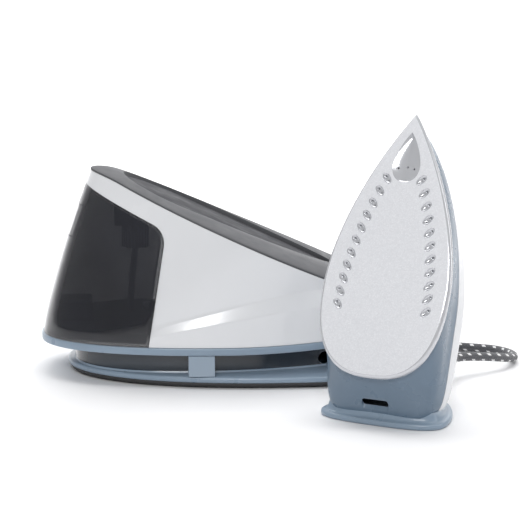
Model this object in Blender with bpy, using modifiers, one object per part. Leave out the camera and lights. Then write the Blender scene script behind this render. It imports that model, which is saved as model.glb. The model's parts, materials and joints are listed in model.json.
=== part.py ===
"""Steam generator iron: a base station with a pull-out water tank, an iron standing on its heel beside it,
and the steam hose between them. Dimensions are in millimetres; MM turns them into Blender's metres.

Base frame: +X towards the nose, +Y towards the far side, +Z up.
Iron frame: x runs from the sole's rear end to its tip, y to its side, z from the sole up to the handle."""

import math
from collections import namedtuple

import bmesh
import bpy
import numpy as np
from mathutils import Matrix, Vector

MM = 0.001
GAP = 0.3  # between pieces that touch

# ---------------------------------------------------------------- placing
BASE_AT = (8.85, 72.4)
IRON_AT = (92.65, -165.0)  # the sole's rear end, over the ground
SOLE_REAR_HEIGHT = 43.5
IRON_YAW = 32.0
IRON_LEAN = 23.6

# ---------------------------------------------------------------- base plans
# A plan is an egg-shaped outline, symmetric about X: a superellipse behind its widest place, and before it
# half_width * (1 - s ** n_nose) ** closing, where s runs from 0 there to 1 at the nose.
Plan = namedtuple("Plan", "rear nose widest half_width n_rear n_nose closing")
PLAN_STEPS = 12
PLATE = Plan(-173.0, 180.0, 30.0, 105.0, 2.2, 2.4, 0.42)
CHANNEL = Plan(-166.0, 138.0, -45.0, 82.0, 2.4, 1.8, 0.55)
FLANGE = Plan(-197.7, 178.0, -15.0, 94.5, 2.3, 2.0, 0.5)
TRAY_EDGE = Plan(-149.0, 166.0, 25.0, 89.5, 1.88, 1.9, 0.52)
RECESS = Plan(-118.0, 80.0, -60.0, 50.0, 2.0, 1.8, 0.6)  # for the iron's sole, in the tray

FOOT_RADIUS = 9.0
FOOT_HEIGHT = 3.0
PAN_BOTTOM, PAN_TOP = 1.2, 5.2
PLATE_BOTTOM, PLATE_TOP = 5.5, 10.7
CHANNEL_BOTTOM = PLATE_TOP + GAP
FLANGE_BOTTOM, FLANGE_TOP = 29.4, 36.0
BODY_BOTTOM = FLANGE_TOP + GAP
NOSE_SWEEP = 12.0  # how far the flange rises towards the nose
NOSE_SWEEP_START = -20.0
WALL = 2.5

# The tray's edge slopes down towards the nose on a shallow curve, and levels out there.
EDGE_HEIGHT, EDGE_SLOPE, EDGE_CURVE = 124.0, 0.44, 0.00018
LEVELLING_START, LEVELLING = 90.0, 0.002
REAR_DROP_START, REAR_DROP = -120.0, 0.0055
DECK_HEIGHT, RECESS_FLOOR = 7.4, 1.2  # of the tray, over that edge
LEAN = 1.25  # the power of the height by which the body's wall curves in towards the tray

# The tank fills the rear of the body, under a strip of the white shell.
TANK_TOP_HEIGHT, TANK_TOP_SLOPE = 101.7, 0.49
TANK_FRONT_LOW, TANK_FRONT_HIGH = (-98.5, 25.0), (-80.5, 136.0)
TANK_CORNER = 18.0
TANK_CLEARANCE = 0.4
FLAP_LOW, FLAP_HIGH, FLAP_HALF = 128.0, 158.0, 21.0
VALVE_HEIGHT = 58.0

HOSE_HOLE_X, HOSE_HOLE_Z = 66.0, 18.5
CLIP_X, CLIP_WIDTH = -49.0, 24.0
HOSE_GLAND_X, MAINS_GLAND_X, GLAND_Z = -5.0, -75.0, 20.2
BUTTON_Y, BUTTON_Z, BUTTON_RADIUS = 13.0, 56.0, 5.5

# ---------------------------------------------------------------- iron
SOLE = Plan(0.0, 230.0, 79.0, 57.4, 2.6, 1.7, 0.95)
SOLE_TOP = 6.0
HOLE_ROWS, HOLE_PITCH, FIRST_HOLE = 11, 11.2, 59.5
# height over the sole, then the body's plan at that height
IRON_LEVELS = (
    (6.3, Plan(3.0, 225.0, 79.0, 54.0, 2.9, 1.7, 0.9)),
    (20.0, Plan(-12.5, 222.0, 75.0, 53.2, 3.8, 1.7, 0.8)),
    (32.2, Plan(-27.0, 216.5, 70.0, 52.2, 6.0, 1.7, 0.72)),
    (44.5, Plan(-21.7, 206.0, 62.0, 53.0, 8.0, 1.7, 0.68)),
    (52.0, Plan(-18.4, 195.0, 57.0, 53.5, 8.0, 1.8, 0.66)),
    (60.0, Plan(-14.9, 181.0, 54.0, 51.0, 6.0, 1.9, 0.63)),
    (65.0, Plan(-12.7, 168.0, 52.0, 46.5, 4.0, 2.0, 0.58)),
    (69.0, Plan(-9.0, 152.0, 51.0, 37.0, 3.0, 2.0, 0.5)),
    (71.5, Plan(-2.0, 132.0, 50.0, 26.0, 2.4, 2.0, 0.5)),
    (72.5, Plan(12.0, 106.0, 49.0, 13.0, 2.0, 2.0, 0.5)),
)
IRON_TOP = 72.5
COVER_RISES = (0.0, 0.25, 0.5, 0.68, 0.82, 0.91, 0.97, 1.0)
# The handle's outer and finger-side points (x, z), and its half width there
HANDLE = (
    ((-14.0, 62.0), (34.0, 60.0), 44.0),
    ((-5.4, 82.0), (37.0, 79.0), 39.0),
    ((4.3, 104.0), (45.0, 92.0), 31.0),
    ((11.6, 119.0), (55.0, 98.0), 24.0),
    ((38.0, 125.0), (66.0, 100.5), 19.5),
    ((62.0, 124.0), (76.0, 101.0), 17.5),
    ((90.0, 119.5), (92.0, 99.0), 17.0),
    ((115.0, 111.5), (108.0, 94.0), 17.5),
    ((140.0, 98.5), (123.0, 84.5), 19.0),
    ((163.0, 82.0), (134.0, 72.0), 22.0),
    ((184.0, 60.0), (140.0, 54.0), 23.0),
)
GRIP_STATIONS = (4, 5, 6)
TRIGGER_PIVOT = (128.5, 85.0)
TRIGGER_HALF = 6.5
DIAL_AT, DIAL_RADIUS = 86.0, 16.0
HEEL_PLATE = Plan(-14.0, 92.0, 10.0, 56.5, 2.8, 1.7, 0.6)
HEEL_THICKNESS = 5.0
SWIVEL_AT = (26.0, 122.5)  # where the hose's axis leaves the handle
SWIVEL_LENGTH = 38.0

# ---------------------------------------------------------------- hose
HOSE_DIAMETER = 8.5
COIL_AT = (102.0, 254.0)
# The coil's turns lie two across and two high, a hose's thickness apart.
COIL_OUTER = 55.0
COIL_INNER = COIL_OUTER - HOSE_DIAMETER
COIL_LAYERS = 2
# The route's own points, after the iron's strain relief and after the coil
LOOP_ROUTE = (
    (198.5, 0.5, 19.0),
    (220.3, 13.8, 16.3),
    (239.5, 24.5, 12.8),
    (253.0, 36.0, 9.4),
    (261.5, 50.0, 6.4),
    (263.7, 66.0, 4.9),
    (259.0, 81.2, 4.4),
    (248.0, 93.1, 4.3),
    (226.2, 103.2, 4.3),
    (203.2, 113.2, 4.3),
    (185.4, 131.5, 4.3),
    (173.1, 156.4, 4.3),
    (166.2, 187.0, 4.3),
    (164.9, 219.1, 4.3),
)
LEAVING_ROUTE = ((28.6, 239.7, 15.4), (16.7, 224.3, 17.6), (7.5, 205.7, 19.4))


# ================================================================ helpers
def finish(name, color, roughness, metallic=0.0, alpha=1.0):
    material = bpy.data.materials.new(name)
    material.use_nodes = True
    shader = material.node_tree.nodes["Principled BSDF"]
    shader.inputs["Base Color"].default_value = (*color, 1.0)
    shader.inputs["Roughness"].default_value = roughness
    shader.inputs["Metallic"].default_value = metallic
    shader.inputs["Alpha"].default_value = alpha
    return material


FINISHES = {
    "white": ((0.80, 0.80, 0.82), 0.22, 0.0, 1.0),
    "blue_grey": ((0.28, 0.37, 0.46), 0.35, 0.0, 1.0),
    "dark_grey": ((0.17, 0.17, 0.18), 0.55, 0.0, 1.0),
    "black": ((0.02, 0.02, 0.022), 0.6, 0.0, 1.0),
    "smoke": ((0.03, 0.032, 0.04), 0.08, 0.0, 0.5),
    "ceramic": ((0.78, 0.79, 0.82), 0.3, 0.0, 1.0),
    "aluminium": ((0.6, 0.6, 0.62), 0.4, 1.0, 1.0),
    "brass": ((0.7, 0.5, 0.2), 0.35, 1.0, 1.0),
    "board": ((0.05, 0.2, 0.08), 0.5, 0.0, 1.0),
    "silicone": ((0.85, 0.85, 0.82), 0.5, 0.0, 1.0),
    "braid": ((0.22, 0.23, 0.25), 0.9, 0.0, 1.0),
}


def clear_scene():
    for obj in list(bpy.data.objects):
        bpy.data.objects.remove(obj, do_unlink=True)


def make_collection(name):
    collection = bpy.data.collections.new(name)
    bpy.context.scene.collection.children.link(collection)
    return collection


def make_frame(name, location, rotation):
    """An empty that holds one assembly's own frame."""
    empty = bpy.data.objects.new(name, None)
    empty.location = Vector(location) * MM
    empty.rotation_euler = [math.radians(angle) for angle in rotation]
    parts.objects.link(empty)
    return empty


def add(name, mesh, look=None, frame=None, origin=(0, 0, 0)):
    """A node (with a look) or a cutter (without), whose origin is set to a point of its frame."""
    mesh.transform(Matrix.Translation(-Vector(origin) * MM))
    obj = bpy.data.objects.new(name, mesh)
    obj.location = Vector(origin) * MM
    obj.parent = frame
    if look:
        parts.objects.link(obj)
        mesh.materials.append(finish(name, *FINISHES[look]))
        mesh.shade_smooth()
        mesh.set_sharp_from_angle(angle=math.radians(35))
    else:
        cutters.objects.link(obj)
        obj.hide_render = True
        obj.display_type = "WIRE"
    return obj


def boolean(obj, cutter, operation="DIFFERENCE"):
    modifier = obj.modifiers.new(cutter.name, "BOOLEAN")
    modifier.operation = operation
    modifier.solver = "EXACT"
    modifier.object = cutter


def closed_mesh(name, bm):
    bmesh.ops.remove_doubles(bm, verts=bm.verts, dist=1e-6)
    bmesh.ops.recalc_face_normals(bm, faces=bm.faces)
    if bm.calc_volume(signed=True) < 0:
        bmesh.ops.reverse_faces(bm, faces=bm.faces)
    mesh = bpy.data.meshes.new(name)
    bm.to_mesh(mesh)
    bm.free()
    return mesh


# ---------------------------------------------------------------- outlines and lofts
def power(value, exponent):
    return max(0.0, value) ** exponent


def plan_point(plan, step):
    """(x, half width) at a step from 0, the rear end, to 2 * PLAN_STEPS, the nose."""
    angle = math.pi / 2 * (step % PLAN_STEPS) / PLAN_STEPS
    if step == 2 * PLAN_STEPS:
        return plan.nose, 0.0
    if step < PLAN_STEPS:
        back = power(math.cos(angle), 2 / plan.n_rear)
        out = power(math.sin(angle), 2 / plan.n_rear)
        return plan.widest - (plan.widest - plan.rear) * back, plan.half_width * out
    along = power(math.sin(angle), 2 / plan.n_nose)
    out = power(math.cos(angle), 2 * plan.closing)
    return plan.widest + (plan.nose - plan.widest) * along, plan.half_width * out


def half_outline(plan):
    return [plan_point(plan, step) for step in range(2 * PLAN_STEPS + 1)]


def inset(plan, depth):
    return plan._replace(rear=plan.rear + depth, nose=plan.nose - depth, half_width=plan.half_width - depth)


def ring(half, height):
    """The whole outline, near side first. height is a number or a function of x."""
    level = height if callable(height) else lambda x: height
    near = [(x, -w, level(x)) for x, w in half]
    far = [(x, w, level(x)) for x, w in reversed(half[1:-1])]
    return near + far


def loft(name, rings, capped=True, placed=None):
    """Sides between the rings. The ends are capped by strips across Y, or joined to each other."""
    bm = bmesh.new()
    rows = [[bm.verts.new(Vector(point) * MM) for point in points] for points in rings]
    count = len(rows[0])
    pairs = list(zip(rows, rows[1:])) + ([] if capped else [(rows[-1], rows[0])])
    for low, high in pairs:
        for i in range(count):
            j = (i + 1) % count
            bm.faces.new((low[i], low[j], high[j], high[i]))
    if capped:
        for row in (rows[0], rows[-1]):
            for i in range(count // 2):
                corners = [row[i], row[i + 1], row[count - i - 1], row[-i]]
                bm.faces.new(list(dict.fromkeys(corners)))
    mesh = closed_mesh(name, bm)
    if placed:
        mesh.transform(placed)
    return mesh


def slab(name, plan, levels):
    """A plate on one plan, from (height, inset) levels."""
    return loft(name, [ring(half_outline(inset(plan, depth)), z) for z, depth in levels])


# ---------------------------------------------------------------- simple solids
def axis_matrix(at, direction):
    """A frame at a point, with its Z along a direction."""
    turn = Vector(direction).normalized().to_track_quat("Z", "Y").to_matrix().to_4x4()
    return Matrix.Translation(Vector(at) * MM) @ turn


def cylinders(name, specs, segments=20):
    """Separate cylinders or cones: (start, end, radius at start, radius at end) each."""
    bm = bmesh.new()
    for start, end, radius_start, radius_end in specs:
        start, end = Vector(start), Vector(end)
        matrix = axis_matrix((start + end) / 2, end - start)
        depth = (end - start).length * MM
        bmesh.ops.create_cone(
            bm, cap_ends=True, segments=segments, radius1=radius_start * MM, radius2=radius_end * MM,
            depth=depth, matrix=matrix,
        )
    mesh = bpy.data.meshes.new(name)
    bm.to_mesh(mesh)
    bm.free()
    return mesh


def box(name, low, high, placed=None):
    low, high = Vector(low) * MM, Vector(high) * MM
    size = high - low
    bm = bmesh.new()
    matrix = Matrix.Translation((low + high) / 2) @ Matrix.Diagonal((*size, 1.0))
    bmesh.ops.create_cube(bm, size=1.0, matrix=matrix)
    mesh = bpy.data.meshes.new(name)
    bm.to_mesh(mesh)
    bm.free()
    if placed:
        mesh.transform(placed)
    return mesh


def bevel(obj, width, segments=2):
    modifier = obj.modifiers.new("bevel", "BEVEL")
    modifier.width = width * MM
    modifier.segments = segments
    modifier.limit_method = "ANGLE"


def turned(name, profile, at, direction, steps=20):
    """A Screw profile of (radius, distance along the axis), running down its outer side."""
    bm = bmesh.new()
    verts = [bm.verts.new((radius * MM, 0, z * MM)) for radius, z in profile]
    for low, high in zip(verts, verts[1:]):
        bm.edges.new((low, high))
    mesh = bpy.data.meshes.new(name)
    bm.to_mesh(mesh)
    bm.free()
    return mesh, axis_matrix(at, direction), steps


def add_turned(shape, look, frame, name=None):
    mesh, matrix, steps = shape
    obj = add(name or mesh.name, mesh, look, frame)
    obj.matrix_local = matrix
    screw = obj.modifiers.new("turn", "SCREW")
    screw.axis = "Z"
    screw.steps = steps
    screw.render_steps = steps
    screw.use_merge_vertices = True
    screw.merge_threshold = 0.00001
    screw.use_smooth_shade = True
    return obj


def curve_mesh(name, curve):
    """The mesh of a curve, with its caps welded on."""
    guide = bpy.data.objects.new(name + "_guide", curve)
    cutters.objects.link(guide)
    graph = bpy.context.evaluated_depsgraph_get()
    mesh = bpy.data.meshes.new_from_object(guide.evaluated_get(graph))
    bpy.data.objects.remove(guide)
    bm = bmesh.new()
    bm.from_mesh(mesh)
    bmesh.ops.remove_doubles(bm, verts=bm.verts, dist=1e-6)
    bmesh.ops.recalc_face_normals(bm, faces=bm.faces)
    bm.to_mesh(mesh)
    bm.free()
    mesh.name = name
    return mesh


def side_prism(name, outline, half_width):
    """An (x, z) outline as a solid across Y."""
    curve = bpy.data.curves.new(name, "CURVE")
    curve.dimensions = "2D"
    curve.fill_mode = "BOTH"
    curve.extrude = half_width * MM
    spline = curve.splines.new("POLY")
    spline.points.add(len(outline) - 1)
    for point, (x, z) in zip(spline.points, outline):
        point.co = (x * MM, z * MM, 0, 1)
    spline.use_cyclic_u = True
    mesh = curve_mesh(name, curve)
    mesh.transform(Matrix.Rotation(math.pi / 2, 4, "X"))
    return mesh


def add_tube(name, points, radius, look, frame, resolution=2):
    """A wire, pipe or hose through the given points."""
    curve = bpy.data.curves.new(name, "CURVE")
    curve.dimensions = "3D"
    curve.bevel_depth = radius * MM
    curve.bevel_resolution = resolution
    curve.use_fill_caps = True
    spline = curve.splines.new("POLY")
    spline.points.add(len(points) - 1)
    for point, place in zip(spline.points, points):
        point.co = (*(Vector(place) * MM), 1)
    obj = bpy.data.objects.new(name, curve)
    obj.parent = frame
    parts.objects.link(obj)
    curve.materials.append(finish(name, *FINISHES[look]))
    return obj


def smooth_route(points, spacing):
    """Even points on a Catmull-Rom curve through the given ones."""
    ends = [2 * np.array(points[0]) - points[1]], [2 * np.array(points[-1]) - points[-2]]
    p = np.array([*ends[0], *points, *ends[1]], float)
    fine = []
    for i in range(1, len(p) - 2):
        for t in np.linspace(0, 1, 24, endpoint=False):
            a = 2 * p[i] + (p[i + 1] - p[i - 1]) * t
            b = (2 * p[i - 1] - 5 * p[i] + 4 * p[i + 1] - p[i + 2]) * t**2
            c = (3 * p[i] - p[i - 1] - 3 * p[i + 1] + p[i + 2]) * t**3
            fine.append((a + b + c) / 2)
    fine = np.array([*fine, p[-2]])
    along = np.concatenate([[0], np.cumsum(np.linalg.norm(np.diff(fine, axis=0), axis=1))])
    count = max(2, round(along[-1] / spacing)) + 1
    marks = np.linspace(0, along[-1], count)
    return [tuple(np.interp(m, along, fine[:, axis]) for axis in range(3)) for m in marks]


# ================================================================ base station
def sweep(x):
    """How far the flange has risen at x."""
    if x <= NOSE_SWEEP_START:
        return 0.0
    return NOSE_SWEEP * ((x - NOSE_SWEEP_START) / (FLANGE.nose - NOSE_SWEEP_START)) ** 1.6


def edge_height(x):
    """The height of the tray's edge at x."""
    height = EDGE_HEIGHT - EDGE_SLOPE * x + EDGE_CURVE * x**2
    if x > LEVELLING_START:
        height += LEVELLING * (x - LEVELLING_START) ** 2
    if x < REAR_DROP_START:
        height -= REAR_DROP * (x - REAR_DROP_START) ** 2
    return height


def body_ring(fraction, depth, bottom=BODY_BOTTOM, top_drop=0.0):
    """The body's outline at a fraction of its height, on a wall that curves in towards the tray."""
    low = half_outline(inset(FLANGE, 1.8 + depth))
    high = half_outline(inset(TRAY_EDGE, depth))
    lean = fraction**LEAN
    half = [(a + (c - a) * lean, b + (d - b) * lean) for (a, b), (c, d) in zip(low, high)]

    def height(x):
        foot = bottom + sweep(x)
        return foot + (edge_height(x) - top_drop - foot) * fraction

    return ring(half, height)


BODY_FRACTIONS = (0.0, 0.2, 0.4, 0.6, 0.8, 1.0)


def tank_outline(shrink):
    """The side outline of the space that the tank takes, with a rounded upper front corner."""
    low, high = Vector(TANK_FRONT_LOW), Vector(TANK_FRONT_HIGH)
    up = (high - low).normalized()
    normal = Vector((up.y, -up.x))
    low, high = low - normal * shrink, high - normal * shrink
    back = Vector((-1.0, TANK_TOP_SLOPE)).normalized()
    top_at = Vector((0.0, TANK_TOP_HEIGHT - shrink * math.hypot(1.0, TANK_TOP_SLOPE)))
    # where the front line meets the top line
    system = np.array([[up.x, -back.x], [up.y, -back.y]])
    reach = np.linalg.solve(system, np.array(top_at - low))
    corner = low + up * reach[0]
    bisector = (back - up).normalized()
    half_angle = math.acos(max(-1.0, min(1.0, (-up).dot(bisector))))
    radius = TANK_CORNER - shrink
    centre = corner + bisector * (radius / math.sin(half_angle))
    start = corner - up * (radius / math.tan(half_angle))
    end = corner + back * (radius / math.tan(half_angle))
    first = math.atan2(start.y - centre.y, start.x - centre.x)
    last = math.atan2(end.y - centre.y, end.x - centre.x)
    arc = [
        (centre.x + radius * math.cos(first + (last - first) * i / 6),
         centre.y + radius * math.sin(first + (last - first) * i / 6))
        for i in range(7)
    ]
    far = -240.0
    return [tuple(low), *arc, (far, top_at.y - TANK_TOP_SLOPE * far), (far, low.y)]


def foot_places():
    return [(x, y) for x in (-108.0, 118.0) for y in (-58.0, 58.0)]


def screw_places():
    return [(x, y) for x in (-78.0, 84.0) for y in (-62.0, 62.0)]


def make_underside(base):
    levels = ((PAN_BOTTOM, 4.5), (3.2, 2.2), (PAN_TOP, 2.0))
    pan = add("bottom_pan", slab("bottom_pan", PLATE, levels), "black", base)
    plate = add(
        "base_plate",
        slab("base_plate", PLATE, ((PLATE_BOTTOM, 1.2), (6.5, 0.2), (9.3, 0.0), (PLATE_TOP, 1.6))),
        "blue_grey",
        base,
    )
    wide = FOOT_RADIUS + GAP
    sockets = [((x, y, -1), (x, y, FOOT_HEIGHT + GAP), wide, wide) for x, y in foot_places()]
    heads = [((x, y, -1), (x, y, 4.2), 3.9, 3.9) for x, y in screw_places()]
    shanks = [((x, y, 3.5), (x, y, 9.4), 1.9, 1.9) for x, y in screw_places()]
    boolean(pan, add("cut_pan_sockets", cylinders("cut_pan_sockets", sockets + heads)))
    boolean(pan, add("cut_pan_shanks", cylinders("cut_pan_shanks", shanks, 12)))
    boolean(plate, add("cut_plate_shanks", cylinders("cut_plate_shanks", shanks, 12)))
    for cutter in ("cut_pan_sockets", "cut_pan_shanks", "cut_plate_shanks"):
        bpy.data.objects[cutter].parent = base
    for index, (x, y) in enumerate(foot_places(), 1):
        foot = (
            (0, FOOT_HEIGHT), (FOOT_RADIUS, FOOT_HEIGHT), (FOOT_RADIUS, 0.8), (FOOT_RADIUS - 0.8, 0), (0, 0),
        )
        add_turned(turned(f"foot_{index}", foot, (x, y, 0), (0, 0, 1)), "black", base)
    for index, (x, y) in enumerate(screw_places(), 1):
        head = ((0, 9.0), (1.5, 9.0), (1.5, 3.9), (3.5, 3.9), (3.5, 2.4), (2.6, 1.6), (0, 1.6))
        add_turned(turned(f"base_screw_{index}", head, (x, y, 0), (0, 0, 1), 12), "aluminium", base)


def make_lower_housing(base):
    def rise(z):
        return lambda x: z + sweep(x)

    wall = half_outline(CHANNEL)
    wall_inner = half_outline(inset(CHANNEL, WALL))
    foot = half_outline(inset(CHANNEL, -1.2))
    lip = half_outline(FLANGE)
    rings = [
        ring(foot, CHANNEL_BOTTOM),
        ring(wall, CHANNEL_BOTTOM + 3.0),
        ring(wall, rise(FLANGE_BOTTOM)),
        ring(half_outline(inset(FLANGE, 0.8)), rise(FLANGE_BOTTOM)),
        ring(lip, rise(FLANGE_BOTTOM + 0.8)),
        ring(lip, rise(FLANGE_TOP - 1.0)),
        ring(half_outline(inset(FLANGE, 1.0)), rise(FLANGE_TOP)),
        ring(half_outline(inset(FLANGE, 4.0)), rise(FLANGE_TOP)),
        ring(half_outline(inset(FLANGE, 4.0)), rise(FLANGE_TOP - 3.0)),
        ring(wall_inner, rise(FLANGE_TOP - 3.0)),
        ring(wall_inner, CHANNEL_BOTTOM),
    ]
    housing = add("lower_housing", loft("lower_housing", rings, capped=False), "blue_grey", base)
    holes = [
        ((HOSE_HOLE_X, -95, HOSE_HOLE_Z), (HOSE_HOLE_X, -50, HOSE_HOLE_Z), 6.0, 6.0),
        ((HOSE_GLAND_X, 60, GLAND_Z), (HOSE_GLAND_X, 95, GLAND_Z), 7.0 + GAP, 7.0 + GAP),
        ((MAINS_GLAND_X, 60, GLAND_Z), (MAINS_GLAND_X, 95, GLAND_Z), 6.0 + GAP, 6.0 + GAP),
    ]
    boolean(housing, add("cut_channel_holes", cylinders("cut_channel_holes", holes), frame=base))
    # the clips that hold the stowed hose stand between the plate's edge and the flange's
    low, high = PLATE_TOP + GAP, FLANGE_BOTTOM - GAP
    section = [(86.0, low), (98.6, low), (93.8, high), (86.0, high)]
    for turn, name in ((-90, "hose_clip_near"), (90, "hose_clip_far")):
        mesh = side_prism(name, section, CLIP_WIDTH / 2)
        mesh.transform(Matrix.Translation((CLIP_X * MM, 0, 0)) @ Matrix.Rotation(math.radians(turn), 4, "Z"))
        bevel(add(name, mesh, "blue_grey", base), 0.8)


def make_body_shell(base):
    outer = [body_ring(f, 0.0) for f in BODY_FRACTIONS]
    inner = [body_ring(f, WALL) for f in reversed(BODY_FRACTIONS)]
    shell = add("body_shell", loft("body_shell", outer + inner, capped=False), "white", base)
    boolean(shell, add("cut_tank_space", side_prism("cut_tank_space", tank_outline(0.0), 130.0), frame=base))
    hole = BUTTON_RADIUS + GAP
    buttons = [((150, y, BUTTON_Z), (185, y, BUTTON_Z), hole, hole) for y in (-BUTTON_Y, BUTTON_Y)]
    boolean(shell, add("cut_buttons", cylinders("cut_buttons", buttons), frame=base))
    low, high = Vector(TANK_FRONT_LOW), Vector(TANK_FRONT_HIGH)
    forward = Vector((2.0, 0.0))
    outline = [(p.x, p.y) for p in (low + forward, low + forward + Vector((2.5, 0)))]
    top = edge_height(-75.0) - 9.0
    slope = (high.x - low.x) / (high.y - low.y)
    outline += [(low.x + 4.5 + slope * (top - low.y), top - 1.5), (low.x + 2.0 + slope * (top - low.y), top)]
    bulkhead = add("tank_bulkhead", side_prism("tank_bulkhead", outline, 120.0), "dark_grey", base)
    inside = [body_ring(f, WALL + 0.4, bottom=BODY_BOTTOM + 0.2) for f in BODY_FRACTIONS]
    boolean(bulkhead, add("cut_body_inside", loft("cut_body_inside", inside), frame=base), "INTERSECT")
    port = [((-110, 0, VALVE_HEIGHT), (-60, 0, VALVE_HEIGHT), 9.0, 9.0)]
    boolean(bulkhead, add("cut_bulkhead_port", cylinders("cut_bulkhead_port", port), frame=base))


def make_iron_rest(base):
    """A crowned tray whose heights, like those of what lies on it, are counted from the body's upper edge."""
    def at(plan, depth, offset):
        return ring(half_outline(inset(plan, depth)), lambda x: edge_height(x) + offset)

    skirt = [(6.0, -1.4), (6.0, -6.0), (3.2, -6.0), (3.2, GAP)]
    crown = [(0.0, GAP), (0.0, 1.6), (1.2, 2.4), (10.0, 4.4), (20.0, 6.0), (34.0, DECK_HEIGHT)]
    tray = loft("iron_rest", [at(TRAY_EDGE, *level) for level in skirt + crown])
    rest = add("iron_rest", tray, "dark_grey", base)
    hollow = loft("recess", [at(RECESS, 0.0, RECESS_FLOOR), at(RECESS, -1.5, 12.0)])
    boolean(rest, add("recess", hollow, None, base))
    mat_top = RECESS_FLOOR + 2.0
    mat_levels = ((1.0, RECESS_FLOOR + GAP), (1.0, mat_top - 0.4), (1.6, mat_top))
    add("rest_mat", loft("rest_mat", [at(RECESS, *level) for level in mat_levels]), "black", base)
    stop = [(x, edge_height(x) + DECK_HEIGHT + GAP) for x in (104.0, 112.0)]
    stop += [(x, edge_height(x) + DECK_HEIGHT + 8.0) for x in (110.5, 106.5)]
    bevel(add("heel_stop", side_prism("heel_stop", stop, 20.0), "dark_grey", base), 1.0)


def make_tank(base):
    outer = [body_ring(f, 0.0) for f in BODY_FRACTIONS]
    shell = add("tank_shell", loft("tank_shell", outer), "smoke", base)
    block = side_prism("cut_tank_block", tank_outline(TANK_CLEARANCE), 130.0)
    space = add("cut_tank_block", block, frame=base)
    boolean(shell, space, "INTERSECT")
    hollow = [body_ring(f, WALL, bottom=BODY_BOTTOM + WALL) for f in BODY_FRACTIONS]
    cavity = add("cut_tank_cavity", loft("cut_tank_cavity", hollow), frame=base)
    inner_space = side_prism("cut_tank_inner", tank_outline(TANK_CLEARANCE + WALL), 130.0)
    boolean(cavity, add("cut_tank_inner", inner_space, frame=base), "INTERSECT")
    boolean(shell, cavity)
    doorway = box("cut_filler", (-230, -FLAP_HALF, FLAP_LOW), (-150, FLAP_HALF, FLAP_HIGH))
    boolean(shell, add("cut_filler", doorway, frame=base))
    port = [((-110, 0, VALVE_HEIGHT), (-70, 0, VALVE_HEIGHT), 6.0, 6.0)]
    boolean(shell, add("cut_tank_port", cylinders("cut_tank_port", port), frame=base))

    # the filler flap is the piece of the rear wall inside the doorway, hinged along its upper edge
    flap_rings = [body_ring(f, 0.0) for f in BODY_FRACTIONS]
    flap_rings += [body_ring(f, WALL) for f in reversed(BODY_FRACTIONS)]
    hinge_x = rear_wall_x(FLAP_HIGH - 1.0)
    wall = loft("filler_flap", flap_rings, capped=False)
    flap = add("filler_flap", wall, "smoke", base, (hinge_x, 0, FLAP_HIGH - 1.0))
    low, high = (-230, 1.0 - FLAP_HALF, FLAP_LOW + 1.0), (-150, FLAP_HALF - 1.0, FLAP_HIGH - 1.0)
    inner_door = box("cut_flap", low, high)
    boolean(flap, add("cut_flap", inner_door, frame=base), "INTERSECT")

    floor = [body_ring(0.0, WALL + 0.6, bottom=BODY_BOTTOM + WALL + GAP)]
    floor += [[(x, y, z + 9.0) for x, y, z in body_ring(0.0, WALL + 2.2, bottom=BODY_BOTTOM + WALL + GAP)]]
    tray = add("tank_base", loft("tank_base", floor), "black", base)
    shrunk = side_prism("cut_tank_base", tank_outline(TANK_CLEARANCE + WALL + 0.5), 130.0)
    boolean(tray, add("cut_tank_base", shrunk, frame=base), "INTERSECT")

    box_low = BODY_BOTTOM + WALL + GAP + 9.0 + GAP
    well = add("valve_box", box("valve_box", (-182, -20, box_low), (-150, 20, 66)), "black", base)
    bevel(well, 2.0)
    make_filter(base)


def rear_wall_x(z):
    """The body's rear end at a height."""
    fraction = (z - BODY_BOTTOM) / (edge_height(TRAY_EDGE.rear) - BODY_BOTTOM)
    return FLANGE.rear + 1.8 + (TRAY_EDGE.rear - FLANGE.rear - 1.8) * fraction**LEAN


FILTER_AT, FILTER_LOW, FILTER_HIGH = -108.0, 115.0, 137.0


def make_filter(base):
    """The ribbed anti-scale cartridge under its stepped cap, and the tube that draws the water."""
    count = 24
    radii = [(13.0, 12.0)[i % 2] for i in range(2 * count)]
    angles = [math.pi * i / count for i in range(2 * count)]
    section = [(FILTER_AT + r * math.cos(a), r * math.sin(a)) for r, a in zip(radii, angles)]
    bm = bmesh.new()
    rows = [[bm.verts.new((x * MM, y * MM, z * MM)) for x, y in section] for z in (FILTER_LOW, FILTER_HIGH)]
    for i in range(len(section)):
        j = (i + 1) % len(section)
        bm.faces.new((rows[0][i], rows[0][j], rows[1][j], rows[1][i]))
    bm.faces.new(rows[0])
    bm.faces.new(rows[1])
    add("filter_cartridge", closed_mesh("filter_cartridge", bm), "dark_grey", base)
    cap_low = FILTER_HIGH + GAP
    cap = add("filter_cap", box("filter_cap", (-127, -15, cap_low), (-94, 15, 158)), "black", base)
    under = side_prism("cut_filter_cap", tank_outline(TANK_CLEARANCE + WALL + 0.5), 60.0)
    boolean(cap, add("cut_filter_cap", under, frame=base), "INTERSECT")
    tube = [(FILTER_AT, 0, FILTER_LOW - 2 * GAP), (FILTER_AT - 3, 0, 90), (FILTER_AT - 6, 0, 52)]
    add_tube("suction_tube", tube, 3.0, "dark_grey", base)


def make_valve_plunger(base):
    """The sprung plunger in the tank's outlet, which the station's port opens."""
    slope = (TANK_FRONT_HIGH[0] - TANK_FRONT_LOW[0]) / (TANK_FRONT_HIGH[1] - TANK_FRONT_LOW[1])
    x = TANK_FRONT_LOW[0] + slope * (VALVE_HEIGHT - TANK_FRONT_LOW[1])
    profile = ((0, 2.0), (3.2, 2.0), (3.2, -8.0), (0, -8.0))
    add_turned(turned("tank_valve_plunger", profile, (x, 0, VALVE_HEIGHT), (1, 0, 0), 16), "silicone", base)


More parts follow.
